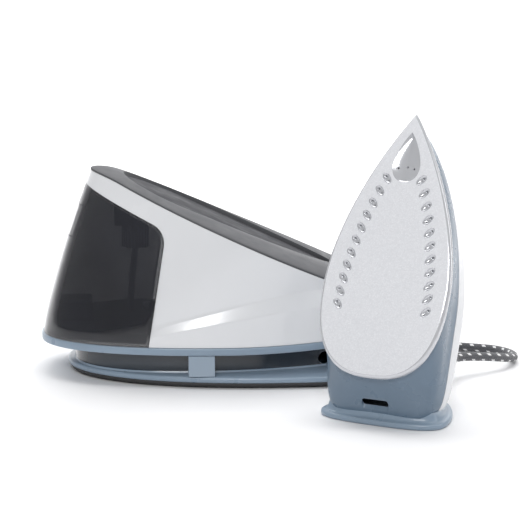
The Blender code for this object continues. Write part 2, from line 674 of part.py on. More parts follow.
def make_works(base):
    """Boiler, pump, valve, board and pipes, between the tank's bulkhead and the nose."""
    floor = PLATE_TOP + GAP
    boiler = (
        (0, 62), (20, 62), (36, 57), (42, 48), (42, 12), (38, 4), (10, 4), (10, 0), (0, 0),
    )
    add_turned(turned("boiler", boiler, (-10, 10, floor), (0, 0, 1), 24), "aluminium", base)
    top = floor + 62 + GAP
    disc = ((0, 7), (9, 7), (9, 0), (0, 0))
    add_turned(turned("boiler_thermostat", disc, (-10, 10, top), (0, 0, 1), 16), "black", base)
    valve = box("steam_valve", (44, 16, floor), (70, 44, floor + 34))
    bevel(add("steam_valve", valve, "brass", base), 1.5)
    pump = ((0, 62), (9, 62), (9, 50), (17, 50), (17, 10), (7, 10), (7, 0), (0, 0))
    pump_axis = floor + 19
    add_turned(turned("pump", pump, (14, -34, pump_axis), (1, 0, 0)), "black", base)
    add("control_board", box("control_board", (92, -30, 46), (148, 30, 48)), "board", base)
    feed = [(-84, 0, VALVE_HEIGHT), (-70, -6, VALVE_HEIGHT), (-60, -30, 48), (-50, -40, 32)]
    feed += [(-20, -42, 30), (4, -34, pump_axis), (13.2, -34, pump_axis)]
    add_tube("feed_pipe", smooth_route(feed, 12), 3.5, "silicone", base)
    delivery = [(76.5, -34, pump_axis), (84, -34, pump_axis), (93, -30, 31), (98, -14, 32)]
    delivery += [(72, 2, 34), (44, 6, 34), (33.0, 10, 34)]
    add_tube("delivery_pipe", smooth_route(delivery, 12), 2.5, "silicone", base)
    steam = [(57, 45.5, 28), (56, 54, 26), (40, 62, 22), (10, 64, GLAND_Z), (HOSE_GLAND_X + 4, 66, GLAND_Z)]
    add_tube("steam_pipe", smooth_route(steam, 12), 3.0, "silicone", base)
    gland = ((0, 36), (5.6, 36), (7.0, 15), (8.6, 13.5), (8.6, 11.6), (7.0, 11.6), (7.0, 0), (0, 0))
    add_turned(turned("hose_gland", gland, (HOSE_GLAND_X, 72, GLAND_Z), (0, 1, 0)), "black", base)
    inlet = ((0, 24), (4.0, 24), (7.0, 19), (8.6, 16.0), (8.6, 13.6), (6.0, 13.6), (6.0, 2), (0, 2))
    add_turned(turned("mains_gland", inlet, (MAINS_GLAND_X, 70, GLAND_Z), (0, 1, 0)), "black", base)


def make_buttons(base):
    for name, y in (("power_button", -BUTTON_Y), ("steam_button", BUTTON_Y)):
        profile = ((0, 17.0), (BUTTON_RADIUS - 1.0, 17.0), (BUTTON_RADIUS, 16.0), (BUTTON_RADIUS, 0), (0, 0))
        add_turned(turned(name, profile, (158.5, y, BUTTON_Z), (1, 0, 0)), "dark_grey", base)


# ================================================================ iron
def iron_level(u, depth=0.0):
    """The iron body's plan at a height over the sole."""
    heights = [height for height, _ in IRON_LEVELS]
    plans = [plan for _, plan in IRON_LEVELS]
    between = Plan(*(float(np.interp(u, heights, values)) for values in zip(*plans)))
    return inset(between, depth)


def seam_height(t):
    """The seam between the lower and the upper shell dips along the side and rises again at the nose."""
    return 43.1 - 0.0617 * t + 0.0012 * max(0.0, t - 150.0) ** 2


def iron_ring(height, depth=0.0):
    """The iron body's outline where its height is a function of the length."""
    half = []
    heights = []
    for step in range(2 * PLAN_STEPS + 1):
        u = height(60.0)
        for _ in range(12):
            t, w = plan_point(iron_level(u, depth), step)
            u = 0.5 * (u + height(t))
        half.append((t, w))
        heights.append(u)
    near = [(t, -w, u) for (t, w), u in zip(half, heights)]
    far = [(t, w, u) for (t, w), u in zip(reversed(half[1:-1]), reversed(heights[1:-1]))]
    return near + far


def heel_matrix():
    """The heel's own frame: x along the floor away from the sole, z up from the floor."""
    lean = math.radians(IRON_LEAN)
    along = Vector((math.sin(lean), 0, math.cos(lean)))
    up = Vector((math.cos(lean), 0, -math.sin(lean)))
    front_u = 39.2
    front_t = (front_u * math.sin(lean) - SOLE_REAR_HEIGHT) / math.cos(lean)
    matrix = Matrix((along, Vector((0, -1, 0)), up)).transposed().to_4x4()
    return Matrix.Translation(Vector((front_t, 0, front_u)) * MM) @ matrix


def sole_hole_place(index, side):
    t = FIRST_HOLE + HOLE_PITCH * index
    return t, side * 40.0 * (1 - ((t - 59.5) / 145.0) ** 1.95)


def make_soleplate(iron):
    sole = add(
        "soleplate",
        slab("soleplate", SOLE, ((0.0, 2.6), (1.4, 0.7), (3.2, 0.0), (SOLE_TOP, 0.6))),
        "ceramic",
        iron,
    )
    dimples = []
    for index in range(HOLE_ROWS):
        for side in (-1, 1):
            t, w = sole_hole_place(index, side)
            dimples.append(((t, w, -1.0), (t, w, 1.6), 4.2, 1.4))
    boolean(sole, add("cut_dimples", cylinders("cut_dimples", dimples, 8), frame=iron))
    tip = Plan(169.0, 213.0, 183.0, 12.5, 2.2, 1.6, 0.9)
    depths = ((-1.0, 0.0), (0.0, 0.0), (1.6, 4.0))
    recess = loft("cut_tip_recess", [ring(half_outline(inset(tip, d)), z) for z, d in depths])
    boolean(sole, add("cut_tip_recess", recess, frame=iron))
    levels = ((SOLE_TOP + GAP, 10.0), (16.0, 10.0), (21.0, 14.0))
    add("steam_chamber", slab("steam_chamber", SOLE, levels), "aluminium", iron)
    stat = ((0, 9), (11, 9), (11, 3), (13, 3), (13, 0), (0, 0))
    add_turned(turned("iron_thermostat", stat, (DIAL_AT, 0, 21.0 + GAP), (0, 0, 1), 16), "brass", iron)
    tube = [(16, 0, 56), (26, 0, 47), (42, 0, 38), (48, 0, 30), (48, 0, 22.0)]
    add_tube("steam_inlet_tube", smooth_route(tube, 8), 3.0, "silicone", iron)


def cover_ring(rise, depth, top):
    """The upper shell's outline at a fraction of its height over the seam."""
    return iron_ring(lambda t: seam_height(t) + GAP + (top - seam_height(t) - GAP) * rise, depth)


def make_iron_shells(iron):
    def between(low, fraction, depth):
        return iron_ring(lambda t: low + (seam_height(t) - low) * fraction, depth)

    foot = IRON_LEVELS[0][0]
    steps = (0.0, 0.35, 0.7, 1.0)
    outer = [between(foot, f, 0.0) for f in steps]
    inner = [between(foot, f, WALL) for f in reversed(steps)]
    skirt = add("iron_skirt", loft("iron_skirt", outer + inner, capped=False), "blue_grey", iron)
    slot = box("cut_heel_slot", (-30, -12, 21.8), (-8, 12, 26.6))
    boolean(skirt, add("cut_heel_slot", slot, frame=iron))

    outer = [cover_ring(rise, 0.0, IRON_TOP) for rise in reversed(COVER_RISES)]
    inner = [cover_ring(rise, WALL, IRON_TOP - WALL) for rise in (0.0, 0.3, 0.6, 0.8, 0.93)]
    cover = add("iron_cover", loft("iron_cover", outer + inner), "white", iron)
    spindle = [((DIAL_AT, 0, 40), (DIAL_AT, 0, 90), 4.5, 4.5)]
    boolean(cover, add("cut_spindle", cylinders("cut_spindle", spindle, 16), frame=iron))


def handle_ring(outer, inner, half_width, grow=0.0):
    """A rounded section across the handle at one station."""
    outer, inner = Vector(outer), Vector(inner)
    centre, reach = (outer + inner) / 2, (outer - inner) / 2
    reach = reach.normalized() * (reach.length + grow)
    count = 20
    points = []
    for i in range(count):
        angle = 2 * math.pi * i / count
        c, s = math.cos(angle), math.sin(angle)
        along = math.copysign(abs(c) ** 0.8, c)
        across = math.copysign(abs(s) ** 0.8, s)
        place = centre + reach * along
        points.append((place.x, (half_width + grow) * across, place.y))
    return points


def handle_mesh(name, grow=0.0):
    return loft(name, [handle_ring(*station, grow) for station in HANDLE])


def grip_outline(shrink):
    """The side outline of the soft insert: the finger side of the bar, between two stations."""
    mid, low = [], []
    for index in GRIP_STATIONS:
        outer, inner = Vector(HANDLE[index][0]), Vector(HANDLE[index][1])
        away = (inner - outer).normalized()
        mid.append(inner - away * ((outer - inner).length * 0.35 - shrink))
        low.append(inner + away * 8.0)
    mid[0] += (mid[1] - mid[0]).normalized() * shrink
    mid[-1] += (mid[-2] - mid[-1]).normalized() * shrink
    low[0] += (low[1] - low[0]).normalized() * shrink
    low[-1] += (low[-2] - low[-1]).normalized() * shrink
    return [tuple(p) for p in mid + low[::-1]]


def make_handle(iron):
    handle = add("handle", handle_mesh("handle"), "white", iron)
    axis = (math.sin(math.radians(IRON_LEAN)), 0, math.cos(math.radians(IRON_LEAN)))
    exit_at = Vector((SWIVEL_AT[0], 0, SWIVEL_AT[1]))
    socket = [(exit_at - Vector(axis) * 9.0, exit_at + Vector(axis) * 20.0, 10.6, 10.6)]
    boolean(handle, add("cut_swivel", cylinders("cut_swivel", socket), frame=iron))
    dome = [cover_ring(rise, -0.4, IRON_TOP) for rise in COVER_RISES]
    raised = Matrix.Translation((0, 0, 0.4 * MM))
    boolean(handle, add("cut_cover_dome", loft("cut_cover_dome", dome, placed=raised), frame=iron))
    boolean(handle, add("cut_grip", side_prism("cut_grip", grip_outline(0.0), 40.0), frame=iron))
    pocket = [(95.5, 88.0), (96.5, 107.5), (114.0, 104.0), (131.5, 94.0), (133.5, 80.0), (118.0, 78.0)]
    boolean(handle, add("cut_trigger", side_prism("cut_trigger", pocket, TRIGGER_HALF + 0.8), frame=iron))
    grip = add("grip_pad", handle_mesh("grip_pad"), "dark_grey", iron)
    band = side_prism("cut_grip_pad", grip_outline(0.4), 40.0)
    boolean(grip, add("cut_grip_pad", band, frame=iron), "INTERSECT")
    swivel = (
        (0, SWIVEL_LENGTH), (5.6, SWIVEL_LENGTH), (8.4, 9.0), (8.4, 6.0),
        (10.0, 4.0), (10.0, -6.0), (7.0, -8.5), (0, -8.5),
    )
    add_turned(turned("hose_swivel", swivel, exit_at, axis), "dark_grey", iron)


def make_trigger(iron):
    outline = [(98.5, 99.5), (115.0, 96.5), (127.0, 90.5), (131.5, 85.0)]
    outline += [(128.5, 80.5), (121.0, 81.5), (110.0, 87.0), (98.5, 91.5)]
    pivot = (TRIGGER_PIVOT[0], 0, TRIGGER_PIVOT[1])
    lever = side_prism("steam_trigger", outline, TRIGGER_HALF)
    trigger = add("steam_trigger", lever, "dark_grey", iron, pivot)
    bevel(trigger, 0.8)
    add("trigger_switch", box("trigger_switch", (99.5, -3.0, 101.0), (107.0, 3.0, 104.6)), "black", iron)


def make_dial(iron):
    base_u = IRON_TOP + GAP
    spindle_u = 21.0 + GAP + 9.0 + GAP
    drop = spindle_u - base_u
    profile = (
        (0, 7.5), (DIAL_RADIUS - 1.5, 7.5), (DIAL_RADIUS, 6.3), (DIAL_RADIUS, 0.4),
        (3.8, 0.4), (3.8, drop), (0, drop),
    )
    add_turned(turned("temperature_dial", profile, (DIAL_AT, 0, base_u), (0, 0, 1), 28), "dark_grey", iron)


def make_heel(iron):
    levels = ((0.0, 1.2), (1.2, 0.0), (3.2, 0.0), (HEEL_THICKNESS, 2.6))
    rings = [ring(half_outline(inset(HEEL_PLATE, d)), z) for z, d in levels]
    plate = add("heel_plate", loft("heel_plate", rings, placed=heel_matrix()), "blue_grey", iron)
    places = [heel_matrix() @ (Vector((48.0, y, 0.0)) * MM) / MM for y in (-26.0, 26.0)]
    up = heel_matrix().to_3x3() @ Vector((0, 0, 1))
    cuts = [(p - up * 1.0, p + up * 3.3, 4.0, 4.0) for p in places]
    boolean(plate, add("cut_heel_screws", cylinders("cut_heel_screws", cuts, 16), frame=iron))
    for side, place in zip(("left", "right"), places):
        head = ((0, 3.0), (3.6, 3.0), (3.6, 1.6), (2.8, 0.9), (0, 0.9))
        add_turned(turned(f"heel_screw_{side}", head, place, up, 12), "aluminium", iron)


# ================================================================ hose
def coil_profile():
    half = HOSE_DIAMETER / 2
    top = COIL_LAYERS * HOSE_DIAMETER
    return (
        (COIL_OUTER + half - 2.5, top), (COIL_OUTER + half, top - 2.5), (COIL_OUTER + half, 2.5),
        (COIL_OUTER + half - 2.5, 0.0), (COIL_INNER - half + 2.5, 0.0), (COIL_INNER - half, 2.5),
        (COIL_INNER - half, top - 2.5), (COIL_INNER - half + 2.5, top), (COIL_OUTER + half - 2.5, top),
    )


def make_hose(iron, base):
    bpy.context.view_layer.update()
    lean = math.radians(IRON_LEAN)
    axis = Vector((math.sin(lean), 0, math.cos(lean)))
    start = Vector((SWIVEL_AT[0], 0, SWIVEL_AT[1])) + axis * (SWIVEL_LENGTH + GAP)
    start = iron.matrix_world @ (start * MM) / MM
    heading = iron.matrix_world.to_3x3() @ axis
    route = [tuple(start), tuple(start + heading * 10.0), *LOOP_ROUTE]
    coil_side = (COIL_AT[0] + COIL_OUTER + HOSE_DIAMETER + 0.5, COIL_AT[1] - 8.0, LOOP_ROUTE[-1][2])
    route.append(coil_side)
    add_tube("hose_run_iron", smooth_route(route, 2.2 * HOSE_DIAMETER), HOSE_DIAMETER / 2, "braid", None)

    ring_shape = turned("hose_coil", coil_profile(), (*COIL_AT, 0), (0, 0, 1), 36)
    add_turned(ring_shape, "braid", None)

    gland = base.matrix_world @ (Vector((HOSE_GLAND_X, 72 + 36 + 2 * GAP, GLAND_Z)) * MM) / MM
    coil_left = (COIL_AT[0] - COIL_OUTER - HOSE_DIAMETER - 1.0, COIL_AT[1] - 4.0, 1.5 * HOSE_DIAMETER + 0.4)
    points = [coil_left, *LEAVING_ROUTE, tuple(gland)]
    add_tube("hose_run_base", smooth_route(points, 2.2 * HOSE_DIAMETER), HOSE_DIAMETER / 2, "braid", None)


clear_scene()
parts = make_collection("steam_generator_iron")
cutters = make_collection("cutters")
base_frame = make_frame("base_frame", (*BASE_AT, 0), (0, 0, 0))
iron_frame = make_frame(
    "iron_frame", (*IRON_AT, SOLE_REAR_HEIGHT), (0, -(90 + IRON_LEAN), -(90 + IRON_YAW))
)
make_underside(base_frame)
make_lower_housing(base_frame)
make_body_shell(base_frame)
make_iron_rest(base_frame)
make_tank(base_frame)
make_valve_plunger(base_frame)
make_works(base_frame)
make_buttons(base_frame)
make_soleplate(iron_frame)
make_iron_shells(iron_frame)
make_handle(iron_frame)
make_trigger(iron_frame)
make_dial(iron_frame)
make_heel(iron_frame)
make_hose(iron_frame, base_frame)
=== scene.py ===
"""The looks of the steam generator iron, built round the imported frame.

Sizes are in millimetres, and MM makes metres of them. The camera's and the hose's sizes are in metres.
"""

import json
import math
from collections import namedtuple

import bmesh
import bpy
import numpy as np
from mathutils import Matrix, Vector


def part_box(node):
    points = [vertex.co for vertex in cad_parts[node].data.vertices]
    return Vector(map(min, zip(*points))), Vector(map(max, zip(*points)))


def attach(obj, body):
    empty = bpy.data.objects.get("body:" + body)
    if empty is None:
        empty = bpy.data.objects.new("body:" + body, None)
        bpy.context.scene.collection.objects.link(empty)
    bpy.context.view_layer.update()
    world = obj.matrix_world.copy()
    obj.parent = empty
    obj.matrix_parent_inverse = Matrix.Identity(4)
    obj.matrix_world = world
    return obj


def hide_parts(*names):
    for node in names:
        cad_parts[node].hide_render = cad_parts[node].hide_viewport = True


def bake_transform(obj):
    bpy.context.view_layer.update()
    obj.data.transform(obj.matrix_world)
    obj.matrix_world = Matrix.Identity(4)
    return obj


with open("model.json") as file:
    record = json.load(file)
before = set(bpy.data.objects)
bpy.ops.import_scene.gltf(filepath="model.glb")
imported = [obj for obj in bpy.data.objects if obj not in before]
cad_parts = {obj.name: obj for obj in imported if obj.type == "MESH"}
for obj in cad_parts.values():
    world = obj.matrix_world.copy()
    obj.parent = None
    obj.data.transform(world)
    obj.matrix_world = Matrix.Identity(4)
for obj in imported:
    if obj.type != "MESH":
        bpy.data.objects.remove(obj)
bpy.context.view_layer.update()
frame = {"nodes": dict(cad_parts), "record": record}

MM = 0.001
GAP = 0.3
WALL = 2.5
CAMERA_AT, CAMERA_TURN, CAMERA_DIP = (-0.08745, -1.51975, 0.391), 4.0, 10.5
CAMERA_LENS, CAMERA_SENSOR = 115.47, 36.0
BASE_AT = (8.85, 72.4)
IRON_AT = (92.65, -165.0)
SOLE_REAR_HEIGHT = 43.5
IRON_YAW, IRON_LEAN = 32.0, 23.6

BASE_FRAME = Matrix.Translation((BASE_AT[0] * MM, BASE_AT[1] * MM, 0))
IRON_FRAME = Matrix.Translation((IRON_AT[0] * MM, IRON_AT[1] * MM, SOLE_REAR_HEIGHT * MM))
IRON_FRAME @= Matrix.Rotation(math.radians(-90 - IRON_YAW), 4, "Z")
IRON_FRAME @= Matrix.Rotation(math.radians(-90 - IRON_LEAN), 4, "Y")

# A plan is an egg-shaped outline: a superellipse behind its widest place, and a closing nose before it.
Plan = namedtuple("Plan", "rear nose widest half_width n_rear n_nose closing")
STEPS = 44
PLATE = Plan(-173.0, 180.0, 30.0, 105.0, 2.2, 2.4, 0.42)
CHANNEL = Plan(-166.0, 138.0, -45.0, 82.0, 2.4, 1.8, 0.55)
FLANGE = Plan(-197.7, 178.0, -15.0, 94.5, 2.3, 2.0, 0.5)
TRAY_EDGE = Plan(-149.0, 166.0, 25.0, 89.5, 1.88, 1.9, 0.52)
RECESS = Plan(-118.0, 80.0, -60.0, 50.0, 2.0, 1.8, 0.6)
PAN_LEVELS = ((1.2, 4.5), (2.0, 3.0), (3.2, 2.2), (5.2, 2.0))
PLATE_LEVELS = ((5.5, 1.4), (5.9, 0.7), (6.5, 0.2), (7.6, 0.0), (9.3, 0.1), (10.2, 0.7), (10.7, 1.8))
CHANNEL_BOTTOM = 11.0
FLANGE_BOTTOM, FLANGE_TOP = 29.4, 36.0
BODY_BOTTOM = 36.3
SWEEP_START, SWEEP_RISE = -20.0, 12.0  # the flange rises towards the nose
EDGE_HEIGHT, EDGE_SLOPE, EDGE_CURVE = 124.0, 0.44, 0.00018
NOSE_LIFT_START, NOSE_LIFT = 90.0, 0.002
REAR_DROP_START, REAR_DROP = -120.0, 0.0055
CREASE_DEPTH = 3.6
DECK_HEIGHT, RECESS_FLOOR = 7.4, 1.2
LEAN = 1.25
TANK_TOP_HEIGHT, TANK_TOP_SLOPE = 101.7, 0.49
TANK_FRONT_LOW, TANK_FRONT_HIGH = (-98.5, 25.0), (-80.5, 136.0)
TANK_CORNER = 18.0
TANK_CLEARANCE = 0.5
RIBS, RIB_DEPTH = 24, 0.9
FLAP_LOW, FLAP_HIGH, FLAP_HALF = 128.0, 158.0, 21.0
BUTTON_Y, BUTTON_Z, BUTTON_HOLE = 13.0, 56.0, 5.8
HOLES = ((66.0, -1, 18.5, 6.0), (-5.0, 1, 20.2, 7.3), (-75.0, 1, 20.2, 6.3))  # x, side, z, radius

SOLE = Plan(0.0, 230.0, 79.0, 57.4, 2.6, 1.7, 0.95)
TIP_RECESS = Plan(169.0, 213.0, 183.0, 12.5, 2.2, 1.6, 0.9)
HOLE_ROWS, HOLE_PITCH, FIRST_HOLE = 11, 11.2, 59.5
DIMPLE_SIZE, DIMPLE_SINK, DIMPLE_TURN = (6.1, 3.5, 3.1), 0.9, 42.0
HEEL_PLATE = Plan(-14.0, 92.0, 10.0, 56.5, 2.8, 1.7, 0.6)
IRON_LEVELS = (
    (6.3, Plan(3.0, 225.0, 79.0, 54.0, 2.9, 1.7, 0.9)),
    (20.0, Plan(-12.5, 222.0, 75.0, 53.2, 3.8, 1.7, 0.8)),
    (32.2, Plan(-27.0, 216.5, 70.0, 52.2, 6.0, 1.7, 0.72)),
    (44.5, Plan(-21.7, 206.0, 62.0, 53.0, 8.0, 1.7, 0.68)),
    (52.0, Plan(-18.4, 195.0, 57.0, 53.5, 8.0, 1.8, 0.66)),
    (60.0, Plan(-14.9, 181.0, 54.0, 51.0, 6.0, 1.9, 0.63)),
    (65.0, Plan(-12.7, 168.0, 52.0, 46.5, 4.0, 2.0, 0.58)),
    (69.0, Plan(-9.0, 152.0, 51.0, 37.0, 3.0, 2.0, 0.5)),
    (71.5, Plan(-2.0, 132.0, 50.0, 26.0, 2.4, 2.0, 0.5)),
    (72.5, Plan(12.0, 106.0, 49.0, 13.0, 2.0, 2.0, 0.5)),
)
IRON_TOP = 72.5
HANDLE = (
    ((-14.0, 62.0), (34.0, 60.0), 44.0),
    ((-5.4, 82.0), (37.0, 79.0), 39.0),
    ((4.3, 104.0), (45.0, 92.0), 31.0),
    ((11.6, 119.0), (55.0, 98.0), 24.0),
    ((38.0, 125.0), (66.0, 100.5), 19.5),
    ((62.0, 124.0), (76.0, 101.0), 17.5),
    ((90.0, 119.5), (92.0, 99.0), 17.0),
    ((115.0, 111.5), (108.0, 94.0), 17.5),
    ((140.0, 98.5), (123.0, 84.5), 19.0),
    ((163.0, 82.0), (134.0, 72.0), 22.0),
    ((184.0, 60.0), (140.0, 54.0), 23.0),
)
DIAL_AT = 86.0
TRIGGER_POCKET = [(95.5, 88.0), (96.5, 107.5), (114.0, 104.0), (131.5, 94.0), (133.5, 80.0), (118.0, 78.0)]
SWIVEL_AT, SWIVEL_LENGTH, SWIVEL_SOCKET = (26.0, 122.5), 38.0, 10.6
HEEL_FRONT = 39.2

HOSE_DIAMETER = 0.0085
HOSE_SPACING, HOSE_SIDES = 0.0012, 24
KNIT_HEIGHT, KNIT_ALONG, KNIT_ROUND = 0.00022, 2100, 6
COIL_AT = (0.102, 0.254)
COIL_OUTER, COIL_INNER = 0.055, 0.0465
COIL_LOW, COIL_HIGH = 0.0044, 0.0128
COIL_WOUND, COIL_STEP = 1240, 20  # degrees
TIE_ANGLE, TIE_LOW, TIE_HIGH, TIE_HALF_LENGTH = 60.0, 0.0001, 0.0168, 0.006
# The hose's centreline from the iron to the coil, and from the coil to its gland
LOOP_ROUTE = (
    (0.1985, 0.0005, 0.0190), (0.2203, 0.0138, 0.0163), (0.2395, 0.0245, 0.0128), (0.2530, 0.0360, 0.0094),
    (0.2615, 0.0500, 0.0064), (0.2637, 0.0660, 0.0049), (0.2590, 0.0812, 0.0044), (0.2480, 0.0931, 0.0043),
    (0.2262, 0.1032, 0.0043), (0.2032, 0.1132, 0.0043), (0.1854, 0.1315, 0.0043), (0.1731, 0.1564, 0.0043),
    (0.1672, 0.1870, 0.0043), (0.1659, 0.2191, 0.0043),
)
GLAND_END = (0.00385, 0.1810, 0.0202)
LEAVING_ROUTE = (
    (0.0408, 0.2549, 0.0136), (0.0286, 0.2397, 0.0154), (0.0167, 0.2243, 0.0176), (0.0075, 0.2057, 0.0194),
)


# ================================================================ materials
def new_material(name):
    material = bpy.data.materials.new(name)
    material.use_nodes = True
    tree = material.node_tree
    return material, tree, tree.nodes["Principled BSDF"]


def noise(tree, scale, detail=3.0):
    where = tree.nodes.new("ShaderNodeTexCoord")
    texture = tree.nodes.new("ShaderNodeTexNoise")
    texture.inputs["Scale"].default_value = scale
    texture.inputs["Detail"].default_value = detail
    tree.links.new(where.outputs["Object"], texture.inputs["Vector"])
    return texture.outputs["Fac"]


def mapped(tree, value, low, high, from_low=0.3, from_high=0.7):
    node = tree.nodes.new("ShaderNodeMapRange")
    node.inputs["From Min"].default_value = from_low
    node.inputs["From Max"].default_value = from_high
    node.inputs["To Min"].default_value = low
    node.inputs["To Max"].default_value = high
    tree.links.new(value, node.inputs["Value"])
    return node.outputs["Result"]


def blended(tree, factor, first, second):
    node = tree.nodes.new("ShaderNodeMix")
    node.data_type = "RGBA"
    tree.links.new(factor, node.inputs["Factor"])
    for value, socket in ((first, node.inputs["A"]), (second, node.inputs["B"])):
        if isinstance(value, tuple):
            socket.default_value = (*value, 1.0)
        else:
            tree.links.new(value, socket)
    return node.outputs["Result"]


def bump(tree, shader, height, strength, distance):
    node = tree.nodes.new("ShaderNodeBump")
    node.inputs["Strength"].default_value = strength
    node.inputs["Distance"].default_value = distance
    tree.links.new(height, node.inputs["Height"])
    tree.links.new(node.outputs["Normal"], shader.inputs["Normal"])


def worn_edges(tree):
    geometry = tree.nodes.new("ShaderNodeNewGeometry")
    return mapped(tree, geometry.outputs["Pointiness"], 0.0, 1.0, 0.53, 0.6)


def moulded(name, color, roughness, grain, grain_depth, metallic=0.0, coat=0.0, wear=0.35, mottle=1.0):
    """Moulded or cast stuff: a fine grain, a slow change of colour and gloss, and paler, duller edges."""
    material, tree, shader = new_material(name)
    shade = tuple(channel * (1 - 0.07 * mottle) for channel in color)
    light = tuple(min(1.0, channel * (1 + 0.05 * mottle)) for channel in color)
    body = blended(tree, mapped(tree, noise(tree, 22.0), 0.0, 1.0), shade, light)
    pale = tuple(channel + (1.0 - channel) * wear * 0.35 for channel in color)
    edges = worn_edges(tree)
    tree.links.new(blended(tree, edges, body, pale), shader.inputs["Base Color"])
    low, high = roughness * (1 - 0.18 * mottle), min(1.0, roughness * (1 + 0.22 * mottle))
    gloss = mapped(tree, noise(tree, 60.0, 5.0), low, high)
    tree.links.new(gloss, shader.inputs["Roughness"])
    shader.inputs["Metallic"].default_value = metallic
    shader.inputs["Coat Weight"].default_value = coat
    shader.inputs["Coat Roughness"].default_value = 0.12
    bump(tree, shader, noise(tree, grain, 2.0), 0.35, grain_depth)
    return material


def smoke_plastic():
    """See-through smoke grey, with a faint haze inside and a trace of handling on its gloss."""
    material, tree, shader = new_material("smoke_plastic")
    haze = mapped(tree, noise(tree, 9.0), 0.0, 1.0)
    tint = blended(tree, haze, (0.010, 0.011, 0.016), (0.022, 0.024, 0.034))
    tree.links.new(tint, shader.inputs["Base Color"])
    tree.links.new(mapped(tree, noise(tree, 12.0, 2.0), 0.03, 0.09), shader.inputs["Roughness"])
    tree.links.new(mapped(tree, noise(tree, 14.0, 1.0), 0.68, 0.74), shader.inputs["Alpha"])
    shader.inputs["Coat Weight"].default_value = 0.6
    shader.inputs["Coat Roughness"].default_value = 0.02
    bump(tree, shader, noise(tree, 30.0, 1.0), 0.05, 0.0001)
    return material


def speckled_sole():
    """A pale coating full of fine bright flecks, smooth to the touch."""
    material, tree, shader = new_material("speckled_sole")
    where = tree.nodes.new("ShaderNodeTexCoord")
    cells = tree.nodes.new("ShaderNodeTexVoronoi")
    cells.inputs["Scale"].default_value = 1500.0
    tree.links.new(where.outputs["Object"], cells.inputs["Vector"])
    fleck = tree.nodes.new("ShaderNodeSeparateColor")
    tree.links.new(cells.outputs["Color"], fleck.inputs["Color"])
    bright = mapped(tree, fleck.outputs["Red"], 0.0, 1.0, 0.7, 1.0)
    cloud = mapped(tree, noise(tree, 420.0, 4.0), 0.0, 1.0)
    base = blended(tree, cloud, (0.69, 0.70, 0.73), (0.74, 0.75, 0.78))
    tree.links.new(blended(tree, bright, base, (0.80, 0.81, 0.84)), shader.inputs["Base Color"])
    tree.links.new(mapped(tree, fleck.outputs["Green"], 0.3, 0.42, 0.1, 0.9), shader.inputs["Roughness"])
    shader.inputs["Coat Weight"].default_value = 0.25
    shader.inputs["Coat Roughness"].default_value = 0.2
    bump(tree, shader, noise(tree, 1300.0, 2.0), 0.2, 0.00002)
    return material


def hose_sleeve():
    """Grey woven yarn with staggered rows of pale flecks, darker where the weave lies low as painted shade
    between the yarns. The UV map is (distance along, turn round it).
    """
    fleck_rows, fleck_pitch, fleck_slant = 4.0, 0.012, 0.35
    yarn_along, yarn_round = 4200.0, 50.27
    material, tree, shader = new_material("hose_sleeve")
    uv = tree.nodes.new("ShaderNodeUVMap")
    parts = tree.nodes.new("ShaderNodeSeparateXYZ")
    tree.links.new(uv.outputs["UV"], parts.inputs["Vector"])

    def arithmetic(kind, first, second=None):
        node = tree.nodes.new("ShaderNodeMath")
        node.operation = kind
        for value, socket in ((first, node.inputs[0]), (second, node.inputs[1])):
            if value is None:
                continue
            if isinstance(value, float):
                socket.default_value = value
            else:
                tree.links.new(value, socket)
        return node.outputs[0]

    along, turn = parts.outputs["X"], parts.outputs["Y"]
    rows = arithmetic("MULTIPLY", turn, fleck_rows)
    row = arithmetic("FLOOR", rows)
    pitches, stagger = arithmetic("MULTIPLY", along, 1 / fleck_pitch), arithmetic("MULTIPLY", row, 0.5)
    slant = arithmetic("MULTIPLY", arithmetic("FRACT", rows), fleck_slant)
    slanted = arithmetic("ADD", arithmetic("ADD", pitches, stagger), slant)
    in_step = arithmetic("LESS_THAN", arithmetic("FRACT", slanted), 0.3)
    across = arithmetic("ABSOLUTE", arithmetic("SUBTRACT", arithmetic("FRACT", rows), 0.5))
    fleck = arithmetic("MULTIPLY", in_step, arithmetic("LESS_THAN", across, 0.2))
    lengthwise = arithmetic("MULTIPLY", along, yarn_along)
    round_it = arithmetic("MULTIPLY", turn, yarn_round)
    yarn = arithmetic("SINE", arithmetic("ADD", lengthwise, round_it))
    cross = arithmetic("SINE", arithmetic("SUBTRACT", lengthwise, round_it))
    weave = arithmetic("MAXIMUM", yarn, cross)
    raised = mapped(tree, weave, 0.0, 1.0, -0.4, 1.0)
    # Painted shade: the yarn's colour darkens where the weave lies low, between the yarns.
    dark = blended(tree, raised, (0.03, 0.031, 0.036), (0.125, 0.128, 0.138))
    tree.links.new(blended(tree, fleck, dark, (0.8, 0.8, 0.8)), shader.inputs["Base Color"])
    tree.links.new(mapped(tree, noise(tree, 900.0), 0.75, 0.95), shader.inputs["Roughness"])
    shader.inputs["Sheen Weight"].default_value = 0.3
    bump(tree, shader, weave, 0.6, 0.00025)
    return material


# Each is: colour, roughness, the grain's fineness and its depth in metres.
WHITE = moulded("white_plastic", (0.745, 0.755, 0.775), 0.2, 700.0, 0.00001, coat=0.5, wear=0.2, mottle=0.15)
BLUE_GREY = moulded("blue_grey_plastic", (0.24, 0.315, 0.40), 0.3, 900.0, 0.00003, coat=0.15, mottle=0.6)
# A darker copy of the blue-grey plastic: painted shade on the channel's recessed wall under the flange.
PAINTED_SHADE_BLUE = moulded(
    "painted_shade_blue_plastic", (0.025, 0.034, 0.046), 0.16, 900.0, 0.00003, coat=0.3, mottle=0.8
)
IRON_BLUE = moulded(
    "iron_blue_plastic", (0.125, 0.18, 0.245), 0.28, 900.0, 0.00002, coat=0.2, wear=0.2, mottle=0.5
)
RIM_GREY = moulded("rim_grey_plastic", (0.075, 0.077, 0.084), 0.62, 1400.0, 0.00006, wear=0.08, mottle=0.5)
DARK_GREY = moulded("dark_grey_plastic", (0.11, 0.112, 0.12), 0.5, 1400.0, 0.00006, wear=0.2)
